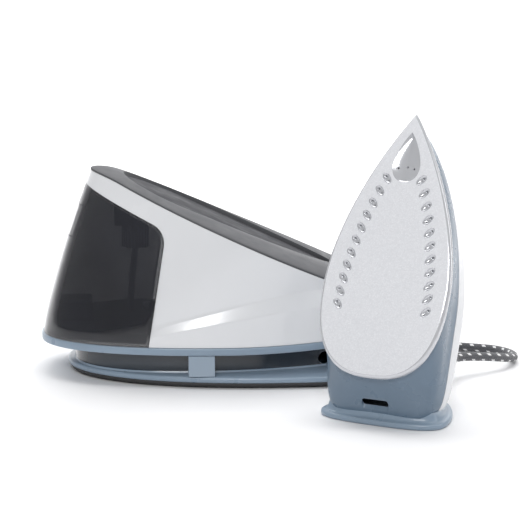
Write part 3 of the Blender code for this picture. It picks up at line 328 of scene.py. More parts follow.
BLACK = moulded("black_plastic", (0.022, 0.022, 0.024), 0.5, 1200.0, 0.00002, wear=0.1, mottle=0.5)
MAT_GREY = moulded("mat_grey_rubber", (0.03, 0.031, 0.038), 0.75, 1000.0, 0.00006, wear=0.1)
RUBBER = moulded("black_rubber", (0.03, 0.03, 0.031), 0.75, 1000.0, 0.0001, wear=0.1)
ALUMINIUM = moulded("cast_aluminium", (0.62, 0.62, 0.64), 0.45, 500.0, 0.00015, metallic=1.0)
STEEL = moulded("screw_steel", (0.55, 0.56, 0.58), 0.32, 1600.0, 0.00003, metallic=1.0)
BRASS = moulded("brass", (0.68, 0.47, 0.18), 0.34, 900.0, 0.00003, metallic=1.0)
BOARD = moulded("board", (0.03, 0.16, 0.07), 0.4, 300.0, 0.0001)
SILICONE = moulded("silicone", (0.72, 0.72, 0.69), 0.55, 500.0, 0.00004)
# Glossier and partly metallic, a real finish; its tone, darker than the coating's, is painted shade in the
# dimples and on the sole's edge.
POLISHED_PAINTED_SHADE = moulded(
    "polished_sole_painted_shade", (0.60, 0.61, 0.64), 0.14, 900.0, 0.00001, metallic=0.35, coat=0.6, wear=0.6, mottle=0.2
)
SMOKE = smoke_plastic()
CERAMIC = speckled_sole()
SLEEVE = hose_sleeve()
SLOT_MATERIALS = {
    "white_plastic": WHITE, "blue_grey_plastic": BLUE_GREY, "dark_grey_plastic": DARK_GREY,
    "black_rubber": RUBBER, "black_plastic": BLACK, "smoke_plastic": SMOKE, "sole_ceramic": CERAMIC,
    "cast_aluminium": ALUMINIUM, "screw_steel": STEEL, "brass": BRASS, "board": BOARD,
    "silicone": SILICONE, "textile_hose": SLEEVE,
}


def dress_frame():
    """Each carried-over node takes its slot's material and smooth shading."""
    for row in frame["record"]["subparts"]:
        node = frame["nodes"].get(row["node"])
        if node is None:
            continue
        node.data.materials.clear()
        node.data.materials.append(SLOT_MATERIALS[row["material_slot"]])
        node.data.shade_smooth()
        node.data.set_sharp_from_angle(angle=math.radians(32))


# ================================================================ mesh helpers
def piece(name, mesh, material, body, replaced=(), placed=None):
    if placed is not None:
        mesh.transform(placed)
    mesh.materials.clear()
    mesh.materials.append(material)
    mesh.shade_smooth()
    mesh.set_sharp_from_angle(angle=math.radians(35))
    obj = bpy.data.objects.new(name, mesh)
    bpy.context.scene.collection.objects.link(obj)
    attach(obj, body)
    if replaced:
        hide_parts(*replaced)
    return obj


def painted_shade_and_finish(obj, material, chosen):
    """Another material on the chosen faces, which are given as a truth for each face: painted shade on the
    channel's wall, a glossier finish with painted shade on the sole.
    """
    obj.data.materials.append(material)
    for face, is_chosen in zip(obj.data.polygons, chosen):
        face.material_index = int(is_chosen)


def power(value, exponent):
    return max(0.0, value) ** exponent


def plan_point(plan, step):
    """(x, half width) at a step from 0, the rear end, to 2 * STEPS, the nose."""
    angle = math.pi / 2 * (step % STEPS) / STEPS
    if step == 2 * STEPS:
        return plan.nose, 0.0
    if step < STEPS:
        back = power(math.cos(angle), 2 / plan.n_rear)
        out = power(math.sin(angle), 2 / plan.n_rear)
        return plan.widest - (plan.widest - plan.rear) * back, plan.half_width * out
    along = power(math.sin(angle), 2 / plan.n_nose)
    out = power(math.cos(angle), 2 * plan.closing)
    return plan.widest + (plan.nose - plan.widest) * along, plan.half_width * out


def half_outline(plan):
    return [plan_point(plan, step) for step in range(2 * STEPS + 1)]


def inset(plan, depth):
    return plan._replace(rear=plan.rear + depth, nose=plan.nose - depth, half_width=plan.half_width - depth)


def ring(half, height):
    level = height if callable(height) else lambda x: height
    near = [(x, -w, level(x)) for x, w in half]
    far = [(x, w, level(x)) for x, w in reversed(half[1:-1])]
    return near + far


def bridge(bm, low, high):
    for i in range(len(low)):
        j = (i + 1) % len(low)
        bm.faces.new((low[i], low[j], high[j], high[i]))


def loft(name, rings, capped=True):
    """Sides between the rings. The ends are capped by strips across Y, or joined to each other."""
    bm = bmesh.new()
    rows = [[bm.verts.new(Vector(point) * MM) for point in points] for points in rings]
    count = len(rows[0])
    pairs = list(zip(rows, rows[1:])) + ([] if capped else [(rows[-1], rows[0])])
    for low, high in pairs:
        bridge(bm, low, high)
    if capped:
        for row in (rows[0], rows[-1]):
            for i in range(count // 2):
                corners = [row[i], row[i + 1], row[count - i - 1], row[-i]]
                bm.faces.new(list(dict.fromkeys(corners)))
    return closed_mesh(name, bm)


def closed_mesh(name, bm):
    bmesh.ops.remove_doubles(bm, verts=bm.verts, dist=1e-7)
    bmesh.ops.recalc_face_normals(bm, faces=bm.faces)
    if bm.calc_volume(signed=True) < 0:
        bmesh.ops.reverse_faces(bm, faces=bm.faces)
    mesh = bpy.data.meshes.new(name)
    bm.to_mesh(mesh)
    bm.free()
    return mesh


def slab(name, plan, levels):
    return loft(name, [ring(half_outline(inset(plan, depth)), z) for z, depth in levels])


def cylinders(specs, segments=40):
    """Separate cylinders: (start, end, radius) each."""
    bm = bmesh.new()
    for start, end, radius in specs:
        start, end = Vector(start), Vector(end)
        turn = (end - start).to_track_quat("Z", "Y").to_matrix().to_4x4()
        matrix = Matrix.Translation((start + end) / 2 * MM) @ turn
        bmesh.ops.create_cone(
            bm, cap_ends=True, segments=segments, radius1=radius * MM, radius2=radius * MM,
            depth=(end - start).length * MM, matrix=matrix,
        )
    return closed_mesh("cut", bm)


def between_outlines(near, far):
    """A solid between two matching outlines."""
    bm = bmesh.new()
    rows = [[bm.verts.new((x * MM, y * MM, z * MM)) for x, y, z in outline] for outline in (near, far)]
    bridge(bm, *rows)
    for row in rows:
        bm.faces.new(row)
    return closed_mesh("cut", bm)


def prism(outline, half_width):
    """An (x, z) outline as a solid across Y."""
    return between_outlines(*([(x, y, z) for x, z in outline] for y in (-half_width, half_width)))


def carved(mesh, cutters, operation="DIFFERENCE", rounded=0.0):
    """The mesh after each cutter's Boolean, and after a rounding of its sharp edges."""
    obj = bpy.data.objects.new(mesh.name, mesh)
    bpy.context.scene.collection.objects.link(obj)
    helpers = []
    for cutter in cutters:
        helper = bpy.data.objects.new("cut", cutter)
        bpy.context.scene.collection.objects.link(helper)
        helpers.append(helper)
        modifier = obj.modifiers.new("cut", "BOOLEAN")
        modifier.operation = operation
        modifier.solver = "EXACT"
        modifier.object = helper
    if rounded:
        modifier = obj.modifiers.new("round", "BEVEL")
        modifier.width = rounded * MM
        modifier.segments = 3
        modifier.limit_method = "ANGLE"
        modifier.angle_limit = math.radians(40)
        modifier.use_clamp_overlap = True
    graph = bpy.context.evaluated_depsgraph_get()
    result = bpy.data.meshes.new_from_object(obj.evaluated_get(graph))
    result.name = mesh.name
    for extra in (obj, *helpers):
        bpy.data.objects.remove(extra)
    return result


# ================================================================ camera and hose
def make_camera():
    camera = bpy.data.objects.new("camera", bpy.data.cameras.new("camera"))
    bpy.context.scene.collection.objects.link(camera)
    turn, dip = math.radians(CAMERA_TURN), math.radians(CAMERA_DIP)
    looking = Vector((math.sin(turn) * math.cos(dip), math.cos(turn) * math.cos(dip), -math.sin(dip)))
    camera.location = CAMERA_AT
    camera.rotation_euler = looking.to_track_quat("-Z", "Y").to_euler()
    camera.data.lens = CAMERA_LENS
    camera.data.sensor_width = CAMERA_SENSOR
    camera.data.clip_start = 0.05
    bpy.context.scene.camera = camera


def smooth_route(points, spacing):
    """Even points on a Catmull-Rom curve through the given ones."""
    points = np.array(points, float)
    p = np.vstack([2 * points[0] - points[1], points, 2 * points[-1] - points[-2]])
    fine = []
    for i in range(1, len(p) - 2):
        for t in np.linspace(0, 1, 16, endpoint=False):
            a = 2 * p[i] + (p[i + 1] - p[i - 1]) * t
            b = (2 * p[i - 1] - 5 * p[i] + 4 * p[i + 1] - p[i + 2]) * t**2
            c = (3 * p[i] - p[i - 1] - 3 * p[i + 1] + p[i + 2]) * t**3
            fine.append((a + b + c) / 2)
    fine = np.array([*fine, p[-2]])
    along = np.concatenate([[0], np.cumsum(np.linalg.norm(np.diff(fine, axis=0), axis=1))])
    marks = np.linspace(0, along[-1], round(along[-1] / spacing) + 1)
    return np.stack([np.interp(marks, along, fine[:, axis]) for axis in range(3)], 1)


def coil_point(turned):
    """A point of the coil by the angle wound: in along the floor, over, and out again on the upper layer."""
    def moved(start, end, first, last):
        share = min(1.0, max(0.0, (turned - start) / (end - start)))
        return first + (last - first) * share * share * (3 - 2 * share)

    radius = COIL_OUTER + moved(0, 100, HOSE_DIAMETER + 0.0006, 0.0)
    radius += moved(325, 400, 0.0, COIL_INNER - COIL_OUTER) + moved(1045, 1120, 0.0, COIL_OUTER - COIL_INNER)
    height = COIL_LOW + moved(650, 725, 0.0, COIL_HIGH - COIL_LOW)
    angle = math.radians(turned)
    return COIL_AT[0] + radius * math.cos(angle), COIL_AT[1] + radius * math.sin(angle), height


def hose_route():
    lean, yaw = math.radians(IRON_LEAN), math.radians(IRON_YAW)
    along = Vector((math.sin(lean), 0, math.cos(lean)))
    start = Vector((SWIVEL_AT[0], 0, SWIVEL_AT[1])) + along * (SWIVEL_LENGTH + GAP)
    start = IRON_FRAME @ (start * MM)
    heading = Vector((math.sin(yaw), math.cos(yaw), 0))
    coil = [coil_point(angle) for angle in range(0, COIL_WOUND + 1, COIL_STEP)]
    return [tuple(start), tuple(start + heading * 0.01), *LOOP_ROUTE, *coil, *LEAVING_ROUTE, GLAND_END]


def make_hose():
    """A woven sleeve: yarns stand out from the tube on two crossing sets of turns."""
    route = smooth_route(hose_route(), HOSE_SPACING)
    radius = HOSE_DIAMETER / 2
    tangents = np.gradient(route, axis=0)
    tangents /= np.linalg.norm(tangents, axis=1)[:, None]
    side = np.cross(tangents[0], (0, 0, 1))
    bm = bmesh.new()
    uv = bm.loops.layers.uv.new("UVMap")
    rows = []
    along = np.concatenate([[0], np.cumsum(np.linalg.norm(np.diff(route, axis=0), axis=1))])
    for place, tangent, distance in zip(route, tangents, along):
        side = side - tangent * side.dot(tangent)
        side /= np.linalg.norm(side)
        up = np.cross(side, tangent)
        row = []
        for k in range(HOSE_SIDES):
            angle = 2 * math.pi * k / HOSE_SIDES
            wave, turned = distance * KNIT_ALONG, KNIT_ROUND * angle
            knit = max(math.sin(wave + turned), math.sin(wave - turned))
            reach = radius - KNIT_HEIGHT + KNIT_HEIGHT * knit
            row.append(bm.verts.new(place + side * math.cos(angle) * reach + up * math.sin(angle) * reach))
        rows.append(row)
    for i in range(len(rows) - 1):
        for k in range(HOSE_SIDES):
            j = (k + 1) % HOSE_SIDES
            face = bm.faces.new((rows[i][k], rows[i][j], rows[i + 1][j], rows[i + 1][k]))
            corners = ((i, k), (i, k + 1), (i + 1, k + 1), (i + 1, k))
            for loop, (a, b) in zip(face.loops, corners):
                loop[uv].uv = (along[a], b / HOSE_SIDES)
    bm.faces.new(rows[0])
    bm.faces.new(rows[-1])
    bmesh.ops.recalc_face_normals(bm, faces=bm.faces)
    mesh = bpy.data.meshes.new("steam_hose")
    bm.to_mesh(mesh)
    bm.free()
    mesh.materials.append(SLEEVE)
    mesh.shade_smooth()
    hose = bpy.data.objects.new("steam_hose", mesh)
    bpy.context.scene.collection.objects.link(hose)
    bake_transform(hose)
    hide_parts("hose_run_iron", "hose_coil", "hose_run_base")


def make_coil_tie():
    """A strap round the coil's turns, so that they stay together."""
    angle = math.radians(TIE_ANGLE)
    middle = (COIL_OUTER + COIL_INNER) / 2
    half_wide, half_tall, thick, corner = 0.0086, (TIE_HIGH - TIE_LOW) / 2, 0.0009, 0.004
    loops = []
    for grow in (0.0, thick):
        outline = []
        for quarter in range(4):
            centre_x = (half_wide - corner) * (1, -1, -1, 1)[quarter]
            centre_z = (half_tall - corner) * (1, 1, -1, -1)[quarter]
            for step in range(7):
                a = math.radians(90 * quarter + 15 * step)
                reach = corner - thick + grow
                outline.append((centre_x + reach * math.cos(a), centre_z + reach * math.sin(a)))
        loops.append(outline)
    bm = bmesh.new()
    rows = []
    for outline, end in ((loops[0], -1), (loops[1], -1), (loops[1], 1), (loops[0], 1)):
        rows.append([bm.verts.new((x, end * TIE_HALF_LENGTH, z)) for x, z in outline])
    for low, high in zip(rows, rows[1:] + rows[:1]):
        bridge(bm, low, high)
    mesh = closed_mesh("coil_tie", bm)
    across, along = middle * math.cos(angle), middle * math.sin(angle)
    place = (COIL_AT[0] + across, COIL_AT[1] + along, (TIE_LOW + TIE_HIGH) / 2)
    placed = Matrix.Translation(place) @ Matrix.Rotation(angle, 4, "Z")
    piece("coil_tie", mesh, RUBBER, "base_station", placed=placed)


# ================================================================ base station
def sweep(x):
    if x <= SWEEP_START:
        return 0.0
    return SWEEP_RISE * ((x - SWEEP_START) / (FLANGE.nose - SWEEP_START)) ** 1.6


def edge_height(x):
    height = EDGE_HEIGHT - EDGE_SLOPE * x + EDGE_CURVE * x**2
    if x > NOSE_LIFT_START:
        height += NOSE_LIFT * (x - NOSE_LIFT_START) ** 2
    if x < REAR_DROP_START:
        height -= REAR_DROP * (x - REAR_DROP_START) ** 2
    return height


def body_ring(fraction, depth, bottom=BODY_BOTTOM, shaped=None):
    """The body's outline at a share of its height. shaped gives a further inset by x."""
    low, high = half_outline(inset(FLANGE, 1.8 + depth)), half_outline(inset(TRAY_EDGE, depth))
    share = fraction if callable(fraction) else lambda x: fraction
    half, heights = [], []
    for (a, b), (c, d) in zip(low, high):
        x = a
        for _ in range(4):
            x = a + (c - a) * share(x) ** LEAN
        w = b + (d - b) * share(x) ** LEAN
        if shaped and w > 0.5:
            w -= min(shaped(x), w * 0.2)
        foot = bottom + sweep(x)
        half.append((x, w))
        heights.append(foot + (edge_height(x) - foot) * share(x))
    near = [(x, -w, z) for (x, w), z in zip(half, heights)]
    far = [(x, w, z) for (x, w), z in zip(reversed(half[1:-1]), reversed(heights[1:-1]))]
    return near + far


def crease_share(x, low):
    """How high the crease band's lower or upper edge runs, as a share of the wall's height."""
    first, last = (0.128, 0.551) if low else (0.191, 0.768)
    start, end = (-68.0, 61.0) if low else (-68.0, 53.0)
    s = (x - start) / (end - start)
    s = min(1.35, max(-1.2, s))
    return max(0.02, min(0.97, first + (last - first) * (0.62 * s + 0.38 * s * abs(s))))


def crease_depth(x):
    """The band fades out behind the tank's front and towards the nose."""
    fade_in = min(1.0, max(0.0, (x + 125.0) / 60.0))
    fade_out = min(1.0, max(0.0, (118.0 - x) / 50.0))
    return CREASE_DEPTH * fade_in * fade_out


def shell_rows(depth, bottom=BODY_BOTTOM):
    """The outer wall's rings, from the flange to the tray, with the crease band let into it."""
    def between(start, end, share):
        return lambda x: start(x) + (end(x) - start(x)) * share

    def foot(x):
        return 0.0

    def top(x):
        return 1.0

    def low(x):
        return crease_share(x, True)

    def high(x):
        return crease_share(x, False)

    rows = [body_ring(between(foot, low, s), depth, bottom) for s in (0.0, 0.3, 0.6, 0.85, 0.96)]
    for s in (0.0, 0.08, 0.3, 0.55, 0.8, 0.94, 1.0):
        rows.append(body_ring(between(low, high, s), depth, bottom, lambda x, s=s: crease_depth(x) * s))
    for s in (0.05, 0.15, 0.3, 0.5, 0.7, 0.85, 0.95, 1.0):
        rows.append(body_ring(between(high, top, s), depth, bottom, lambda x, s=s: crease_depth(x) * (1 - s)))
    return rows


def tank_outline(shrink, arc_steps=16):
    """The side outline of the space that the tank takes, with a rounded upper front corner."""
    low, high = Vector(TANK_FRONT_LOW), Vector(TANK_FRONT_HIGH)
    up = (high - low).normalized()
    normal = Vector((up.y, -up.x))
    low, high = low - normal * shrink, high - normal * shrink
    back = Vector((-1.0, TANK_TOP_SLOPE)).normalized()
    top_at = Vector((0.0, TANK_TOP_HEIGHT - shrink * math.hypot(1.0, TANK_TOP_SLOPE)))
    system = np.array([[up.x, -back.x], [up.y, -back.y]])
    reach = np.linalg.solve(system, np.array(top_at - low))
    corner = low + up * reach[0]
    bisector = (back - up).normalized()
    half_angle = math.acos(max(-1.0, min(1.0, (-up).dot(bisector))))
    radius = TANK_CORNER - shrink
    centre = corner + bisector * (radius / math.sin(half_angle))
    start = corner - up * (radius / math.tan(half_angle))
    end = corner + back * (radius / math.tan(half_angle))
    first = math.atan2(start.y - centre.y, start.x - centre.x)
    last = math.atan2(end.y - centre.y, end.x - centre.x)
    arc = []
    for i in range(arc_steps + 1):
        a = first + (last - first) * i / arc_steps
        arc.append((centre.x + radius * math.cos(a), centre.y + radius * math.sin(a)))
    far = -240.0
    return [tuple(low), *arc, (far, top_at.y - TANK_TOP_SLOPE * far), (far, low.y)]


def make_underside():
    pan = slab("floor_pan", PLATE, PAN_LEVELS)
    feet = [((x, y, -1), (x, y, 3.3), 9.3) for x in (-108.0, 118.0) for y in (-58.0, 58.0)]
    heads = [((x, y, -1), (x, y, 4.2), 3.9) for x in (-78.0, 84.0) for y in (-62.0, 62.0)]
    pan = carved(pan, [cylinders(feet + heads)])
    piece("floor_pan", pan, BLACK, "base_station", ["bottom_pan"], BASE_FRAME)
    plate = slab("foot_plate", PLATE, PLATE_LEVELS)
    piece("foot_plate", plate, BLUE_GREY, "base_station", ["base_plate"], BASE_FRAME)


def on_flange(place):
    """Whether a point lies out beyond the channel's wall, on the flange's lip."""
    return place.z > (FLANGE_BOTTOM + 0.1 + sweep((place.x / MM) - BASE_AT[0])) * MM


def make_housing():
    def rise(z):
        return lambda x: z + sweep(x)

    wall, inner = half_outline(CHANNEL), half_outline(inset(CHANNEL, WALL))
    rings = [ring(half_outline(inset(CHANNEL, d)), CHANNEL_BOTTOM + z) for d, z in ((-1.2, 0.0), (-1.1, 0.5))]
    rings += [ring(half_outline(inset(CHANNEL, d)), CHANNEL_BOTTOM + z) for d, z in ((-0.4, 1.6), (0.0, 3.0))]
    rings += [ring(wall, rise(FLANGE_BOTTOM))]
    lip = ((0.8, 0.0), (0.25, 0.2), (0.0, 0.8), (0.0, 3.0), (0.0, 5.3), (0.2, 6.0), (0.6, 6.45), (1.1, 6.6))
    rings += [ring(half_outline(inset(FLANGE, d)), rise(FLANGE_BOTTOM + z)) for d, z in lip]
    rings += [ring(half_outline(inset(FLANGE, 4.0)), rise(z)) for z in (FLANGE_TOP, FLANGE_TOP - 3.0)]
    rings += [ring(inner, rise(FLANGE_TOP - 3.0)), ring(inner, CHANNEL_BOTTOM)]
    holes = [((x, side * 50, z), (x, side * 98, z), radius) for x, side, z, radius in HOLES]
    housing = carved(loft("channel_housing", rings, capped=False), [cylinders(holes)])
    low, high = (CHANNEL_BOTTOM + 1.6) * MM, (FLANGE_BOTTOM + 14.0) * MM
    housing.transform(BASE_FRAME)
    obj = piece("channel_housing", housing, BLUE_GREY, "base_station", ["lower_housing"])

    # The recessed wall between the channel's floor and the flange takes the darker copy of the blue-grey:
    # painted shade under the flange.
    def is_painted_shade_wall(face):
        return abs(face.normal.z) < 0.5 and low < face.center.z < high and not on_flange(face.center)

    painted_shade_and_finish(obj, PAINTED_SHADE_BLUE, [is_painted_shade_wall(face) for face in obj.data.polygons])


def make_body():
    outer = shell_rows(0.0)
    inner = [body_ring(f, WALL + 1.6) for f in (1.0, 0.8, 0.6, 0.4, 0.2, 0.0)]
    holes = [((150, y, BUTTON_Z), (185, y, BUTTON_Z), BUTTON_HOLE) for y in (-BUTTON_Y, BUTTON_Y)]
    shell = loft("white_shell", outer + inner, capped=False)
    shell = carved(shell, [prism(tank_outline(0.0), 130.0), cylinders(holes)])
    piece("white_shell", shell, WHITE, "base_station", ["body_shell"], BASE_FRAME)


def make_tank():
    shares = [i / 14 for i in range(15)]
    solid = loft("tank", [body_ring(f, 0.0) for f in shares])
    solid = carved(solid, [prism(tank_outline(TANK_CLEARANCE), 130.0)], "INTERSECT", rounded=1.2)
    hollow = loft("hollow", [body_ring(f, WALL, BODY_BOTTOM + WALL) for f in shares])
    hollow = carved(hollow, [prism(tank_outline(TANK_CLEARANCE + WALL), 130.0)], "INTERSECT")
    doorway = prism([(-230, FLAP_LOW), (-150, FLAP_LOW), (-150, FLAP_HIGH), (-230, FLAP_HIGH)], FLAP_HALF)
    shell = carved(solid, [hollow, doorway, cylinders([((-110, 0, 58.0), (-70, 0, 58.0), 6.0)])])
    shell.name = "water_tank_shell"
    piece("water_tank_shell", shell, SMOKE, "water_tank", ["tank_shell"], BASE_FRAME)


def make_cartridge():
    """The filter cartridge under its cap, with upright ribs."""
    low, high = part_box("filter_cartridge")
    centre = [(low[axis] + high[axis]) / 2 / MM for axis in (0, 1)]
    radius = (high[0] - low[0]) / 2 / MM
    bottom, top, chamfer = low[2] / MM, high[2] / MM, 0.8
    rings = []
    for z, shrink in ((bottom, chamfer), (bottom + chamfer, 0.0), (top - chamfer, 0.0), (top, chamfer)):
        points = []
        for k in range(8 * RIBS):
            angle = 2 * math.pi * k / (8 * RIBS)
            reach = radius - shrink - RIB_DEPTH * (k % 8 in (0, 1, 2, 7))
            points.append((centre[0] + reach * math.cos(angle), centre[1] + reach * math.sin(angle), z))
        rings.append(points)
    mesh = loft("ribbed_cartridge", rings)
    piece("ribbed_cartridge", mesh, DARK_GREY, "water_tank", ["filter_cartridge"])


def make_tray():
    """A crowned deck with a recess for the iron's sole; heights count from the body's upper edge."""
    def at(plan, depth, offset):
        return ring(half_outline(inset(plan, depth)), lambda x: edge_height(x) + offset)

    under = ((6.0, -1.4), (6.0, -6.0), (3.2, -6.0), (3.2, 0.3), (0.1, 0.3))
    crown = ((0.0, 0.5), (0.0, 1.4), (0.25, 1.9), (0.7, 2.2), (1.2, 2.4), (5.0, 3.4), (10.0, 4.4))
    crown += ((15.0, 5.3), (20.0, 6.0), (27.0, 6.8), (34.0, DECK_HEIGHT))
    walls = ((1.2, RECESS_FLOOR), (0.3, RECESS_FLOOR + 0.4), (0.0, RECESS_FLOOR + 1.2))
    walls += ((-0.2, 5.0), (-1.5, 12.0))
    hollow = [at(RECESS, *level) for level in walls]
    tray = loft("rest_tray", [at(TRAY_EDGE, *level) for level in under + crown])
    tray = carved(tray, [loft("cut", hollow)], rounded=0.5)
    piece("rest_tray", tray, RIM_GREY, "base_station", ["iron_rest"], BASE_FRAME)
    floor = RECESS_FLOOR + 0.3
    levels = ((1.6, floor), (1.6, floor + 1.1), (1.8, floor + 1.5), (2.4, floor + 1.7))
    mat = loft("rest_surface", [at(RECESS, *level) for level in levels])
    piece("rest_surface", mat, MAT_GREY, "base_station", ["rest_mat"], BASE_FRAME)


# ================================================================ iron
def iron_level(u, depth=0.0):
    heights = [height for height, _ in IRON_LEVELS]
    between = Plan(*(smooth_value(u, heights, values) for values in zip(*(plan for _, plan in IRON_LEVELS))))
    return inset(between, depth)


def smooth_value(at, places, values):
    """A monotone cubic through the values, so that a row of plans makes one smooth wall."""
    at = min(max(at, places[0]), places[-1])
    i = min(max(int(np.searchsorted(places, at)) - 1, 0), len(places) - 2)
    steps = [(values[k + 1] - values[k]) / (places[k + 1] - places[k]) for k in range(len(places) - 1)]

    def slope(k):
        if k == 0:
            return steps[0]
        if k == len(places) - 1:
            return steps[-1]
        if steps[k - 1] * steps[k] <= 0:
            return 0.0
        return 2 * steps[k - 1] * steps[k] / (steps[k - 1] + steps[k])

    width = places[i + 1] - places[i]
    t = (at - places[i]) / width
    start = (1 + 2 * t) * (1 - t) ** 2 * values[i] + t * (1 - t) ** 2 * width * slope(i)
    end = t * t * (3 - 2 * t) * values[i + 1] + t * t * (t - 1) * width * slope(i + 1)
    return start + end


def seam_height(t):
    return 43.1 - 0.0617 * t + 0.0012 * max(0.0, t - 150.0) ** 2


def iron_ring(height, depth=0.0):
    half, heights = [], []
    for step in range(2 * STEPS + 1):
        u = height(60.0)
        for _ in range(12):
            t, w = plan_point(iron_level(u, depth), step)
            u = 0.5 * (u + height(t))
        half.append((t, w))
        heights.append(u)
    near = [(t, -w, u) for (t, w), u in zip(half, heights)]
    far = [(t, w, u) for (t, w), u in zip(reversed(half[1:-1]), reversed(heights[1:-1]))]
    return near + far


def cover_ring(rise, depth, top=IRON_TOP):
    """The upper shell's outline at a share of its height over the seam."""
    return iron_ring(lambda t: seam_height(t) + GAP + (top - seam_height(t) - GAP) * rise, depth)


def heel_matrix():
    lean = math.radians(IRON_LEAN)
    along = Vector((math.sin(lean), 0, math.cos(lean)))
    up = Vector((math.cos(lean), 0, -math.sin(lean)))
    front_t = (HEEL_FRONT * math.sin(lean) - SOLE_REAR_HEIGHT) / math.cos(lean)
    matrix = Matrix((along, Vector((0, -1, 0)), up)).transposed().to_4x4()
    return Matrix.Translation(Vector((front_t, 0, HEEL_FRONT)) * MM) @ matrix


def make_sole():
    edge = ((0.0, 3.4), (0.12, 2.6), (0.5, 1.6), (1.2, 0.75), (2.2, 0.2), (3.4, 0.0), (5.2, 0.1), (6.0, 0.7))
    sole = slab("sole", SOLE, edge)
    bm = bmesh.new()
    drills = []
    for index in range(HOLE_ROWS):
        for side in (-1, 1):
            t = FIRST_HOLE + HOLE_PITCH * index
            w = side * 40.0 * (1 - ((t - FIRST_HOLE) / 145.0) ** 1.95)
            turn = Matrix.Rotation(math.radians(side * DIMPLE_TURN), 4, "Z")
            shape = Matrix.Diagonal((*DIMPLE_SIZE, 1.0))
            place = Matrix.Translation(Vector((t, w, -DIMPLE_SINK)) * MM) @ turn @ shape @ Matrix.Scale(MM, 4)
            bmesh.ops.create_uvsphere(bm, u_segments=28, v_segments=14, radius=1.0, matrix=place)
            outward = (turn @ Vector((1.0, 0.0, 0.0))) * 2.3
            drills.append(((t + outward.x, w + outward.y, -1), (t + outward.x, w + outward.y, 4.2), 1.25))
            drills.append(((t - outward.x, w - outward.y, -1), (t - outward.x, w - outward.y, 4.2), 0.65))
    drills += [((181.0, y, -1), (181.0, y, 4.2), 0.9) for y in (-7.2, 7.2)]
    drills += [((182.6, 0.6, -1), (182.6, 0.6, 4.6), 0.9)]
    dimples = closed_mesh("cut", bm)
    groove = [ring(half_outline(inset(TIP_RECESS, d)), z) for z, d in ((-1.0, 0.0), (0.1, 0.0), (0.5, 0.9))]
    groove.append([(x, y * 0.06, 2.1) for x, y, _ in groove[-1]])
    sole = carved(sole, [dimples, loft("cut", groove), cylinders(drills, 20)])
    # Every face above the flat bottom takes the darker, glossier material: painted shade in the dimples, the
    # groove and on the edge.
    polished_painted_shade_faces = [face.center.z > 0.3 * MM for face in sole.polygons]
    obj = piece("sole", sole, CERAMIC, "iron", ["soleplate"], IRON_FRAME)
    painted_shade_and_finish(obj, POLISHED_PAINTED_SHADE, polished_painted_shade_faces)


def make_iron_shells():
    foot = IRON_LEVELS[0][0]

    def skirt_ring(share, depth):
        return iron_ring(lambda t: foot + (seam_height(t) - foot) * share, depth)

    outer = [skirt_ring(i / 12, 0.0) for i in range(12)]
    outer += [skirt_ring(0.985, 0.05), skirt_ring(1.0, 0.45)]
    inner = [skirt_ring(s, WALL) for s in (1.0, 0.66, 0.33, 0.0)]
    skirt = loft("iron_side", outer + inner, capped=False)
    slot = rounded_slot((-32.0, -6.0), 12.4, 21.6, 26.8)
    skirt = carved(skirt, [slot])
    piece("iron_side", skirt, IRON_BLUE, "iron", ["iron_skirt"], IRON_FRAME)

    rises = [math.sin(math.pi / 2 * i / 22) for i in range(23)]
    outer = [cover_ring(rise, 0.0) for rise in reversed(rises)]
    inner = [cover_ring(rise, WALL, IRON_TOP - WALL) for rise in (0.0, 0.3, 0.6, 0.8, 0.93)]
    cover = loft("iron_top", outer + inner)
    cover = carved(cover, [cylinders([((DIAL_AT, 0, 40), (DIAL_AT, 0, 90), 4.5)])])
    piece("iron_top", cover, WHITE, "iron", ["iron_cover"], IRON_FRAME)


def rounded_slot(reach, half_width, low, high):
    """A slot through the heel's front, with round ends."""
    radius = (high - low) / 2
    outline = []
    for side in (1, -1):
        for step in range(9):
            a = math.radians(-90 + 22.5 * step) if side == 1 else math.radians(90 + 22.5 * step)
            y = side * (half_width - radius) + radius * math.cos(a)
            outline.append((y, (low + high) / 2 + radius * math.sin(a)))
    return between_outlines(*([(x, y, z) for y, z in outline] for x in reach))


def handle_station(share):
    """The handle's outer point, inner point and half width at a share of its length, on a smooth curve."""
    flat = np.array([(*outer, *inner, width) for outer, inner, width in HANDLE])
    p = np.vstack([2 * flat[0] - flat[1], flat, 2 * flat[-1] - flat[-2]])
    at = share * (len(HANDLE) - 1)
    i = min(int(at), len(HANDLE) - 2)
    t = at - i
    a, b, c, d = p[i], p[i + 1], p[i + 2], p[i + 3]
    value = (2 * b + (c - a) * t + (2 * a - 5 * b + 4 * c - d) * t**2 + (3 * b - a - 3 * c + d) * t**3) / 2
    return (value[0], value[1]), (value[2], value[3]), value[4]


def handle_mesh(name, shrink=0.0):
    rings = []
    for i in range(71):
        outer, inner, half_width = handle_station(i / 70)
        outer, inner = Vector(outer), Vector(inner)
        centre, reach = (outer + inner) / 2, (outer - inner) / 2
        points = []
        for k in range(48):
            c, s = math.cos(2 * math.pi * k / 48), math.sin(2 * math.pi * k / 48)
            place = centre + reach * math.copysign(abs(c) ** 0.8, c) * (1 - shrink / max(reach.length, 1.0))
            points.append((place.x, (half_width - shrink) * math.copysign(abs(s) ** 0.8, s), place.y))
        rings.append(points)
    return loft(name, rings)


def grip_outline(shrink):
    """The side outline of the soft insert on the finger side of the bar."""
    shares = [0.4 + 0.2 * i / 8 for i in range(9)]
    mid, low = [], []
    for share in shares:
        outer, inner, _ = handle_station(share)
        outer, inner = Vector(outer), Vector(inner)
        away = (inner - outer).normalized()
        mid.append(inner - away * ((outer - inner).length * 0.35 - shrink))
        low.append(inner + away * 8.0)
    for line in (mid, low):
        line[0] += (line[1] - line[0]).normalized() * shrink
        line[-1] += (line[-2] - line[-1]).normalized() * shrink
    return [tuple(p) for p in mid + low[::-1]]


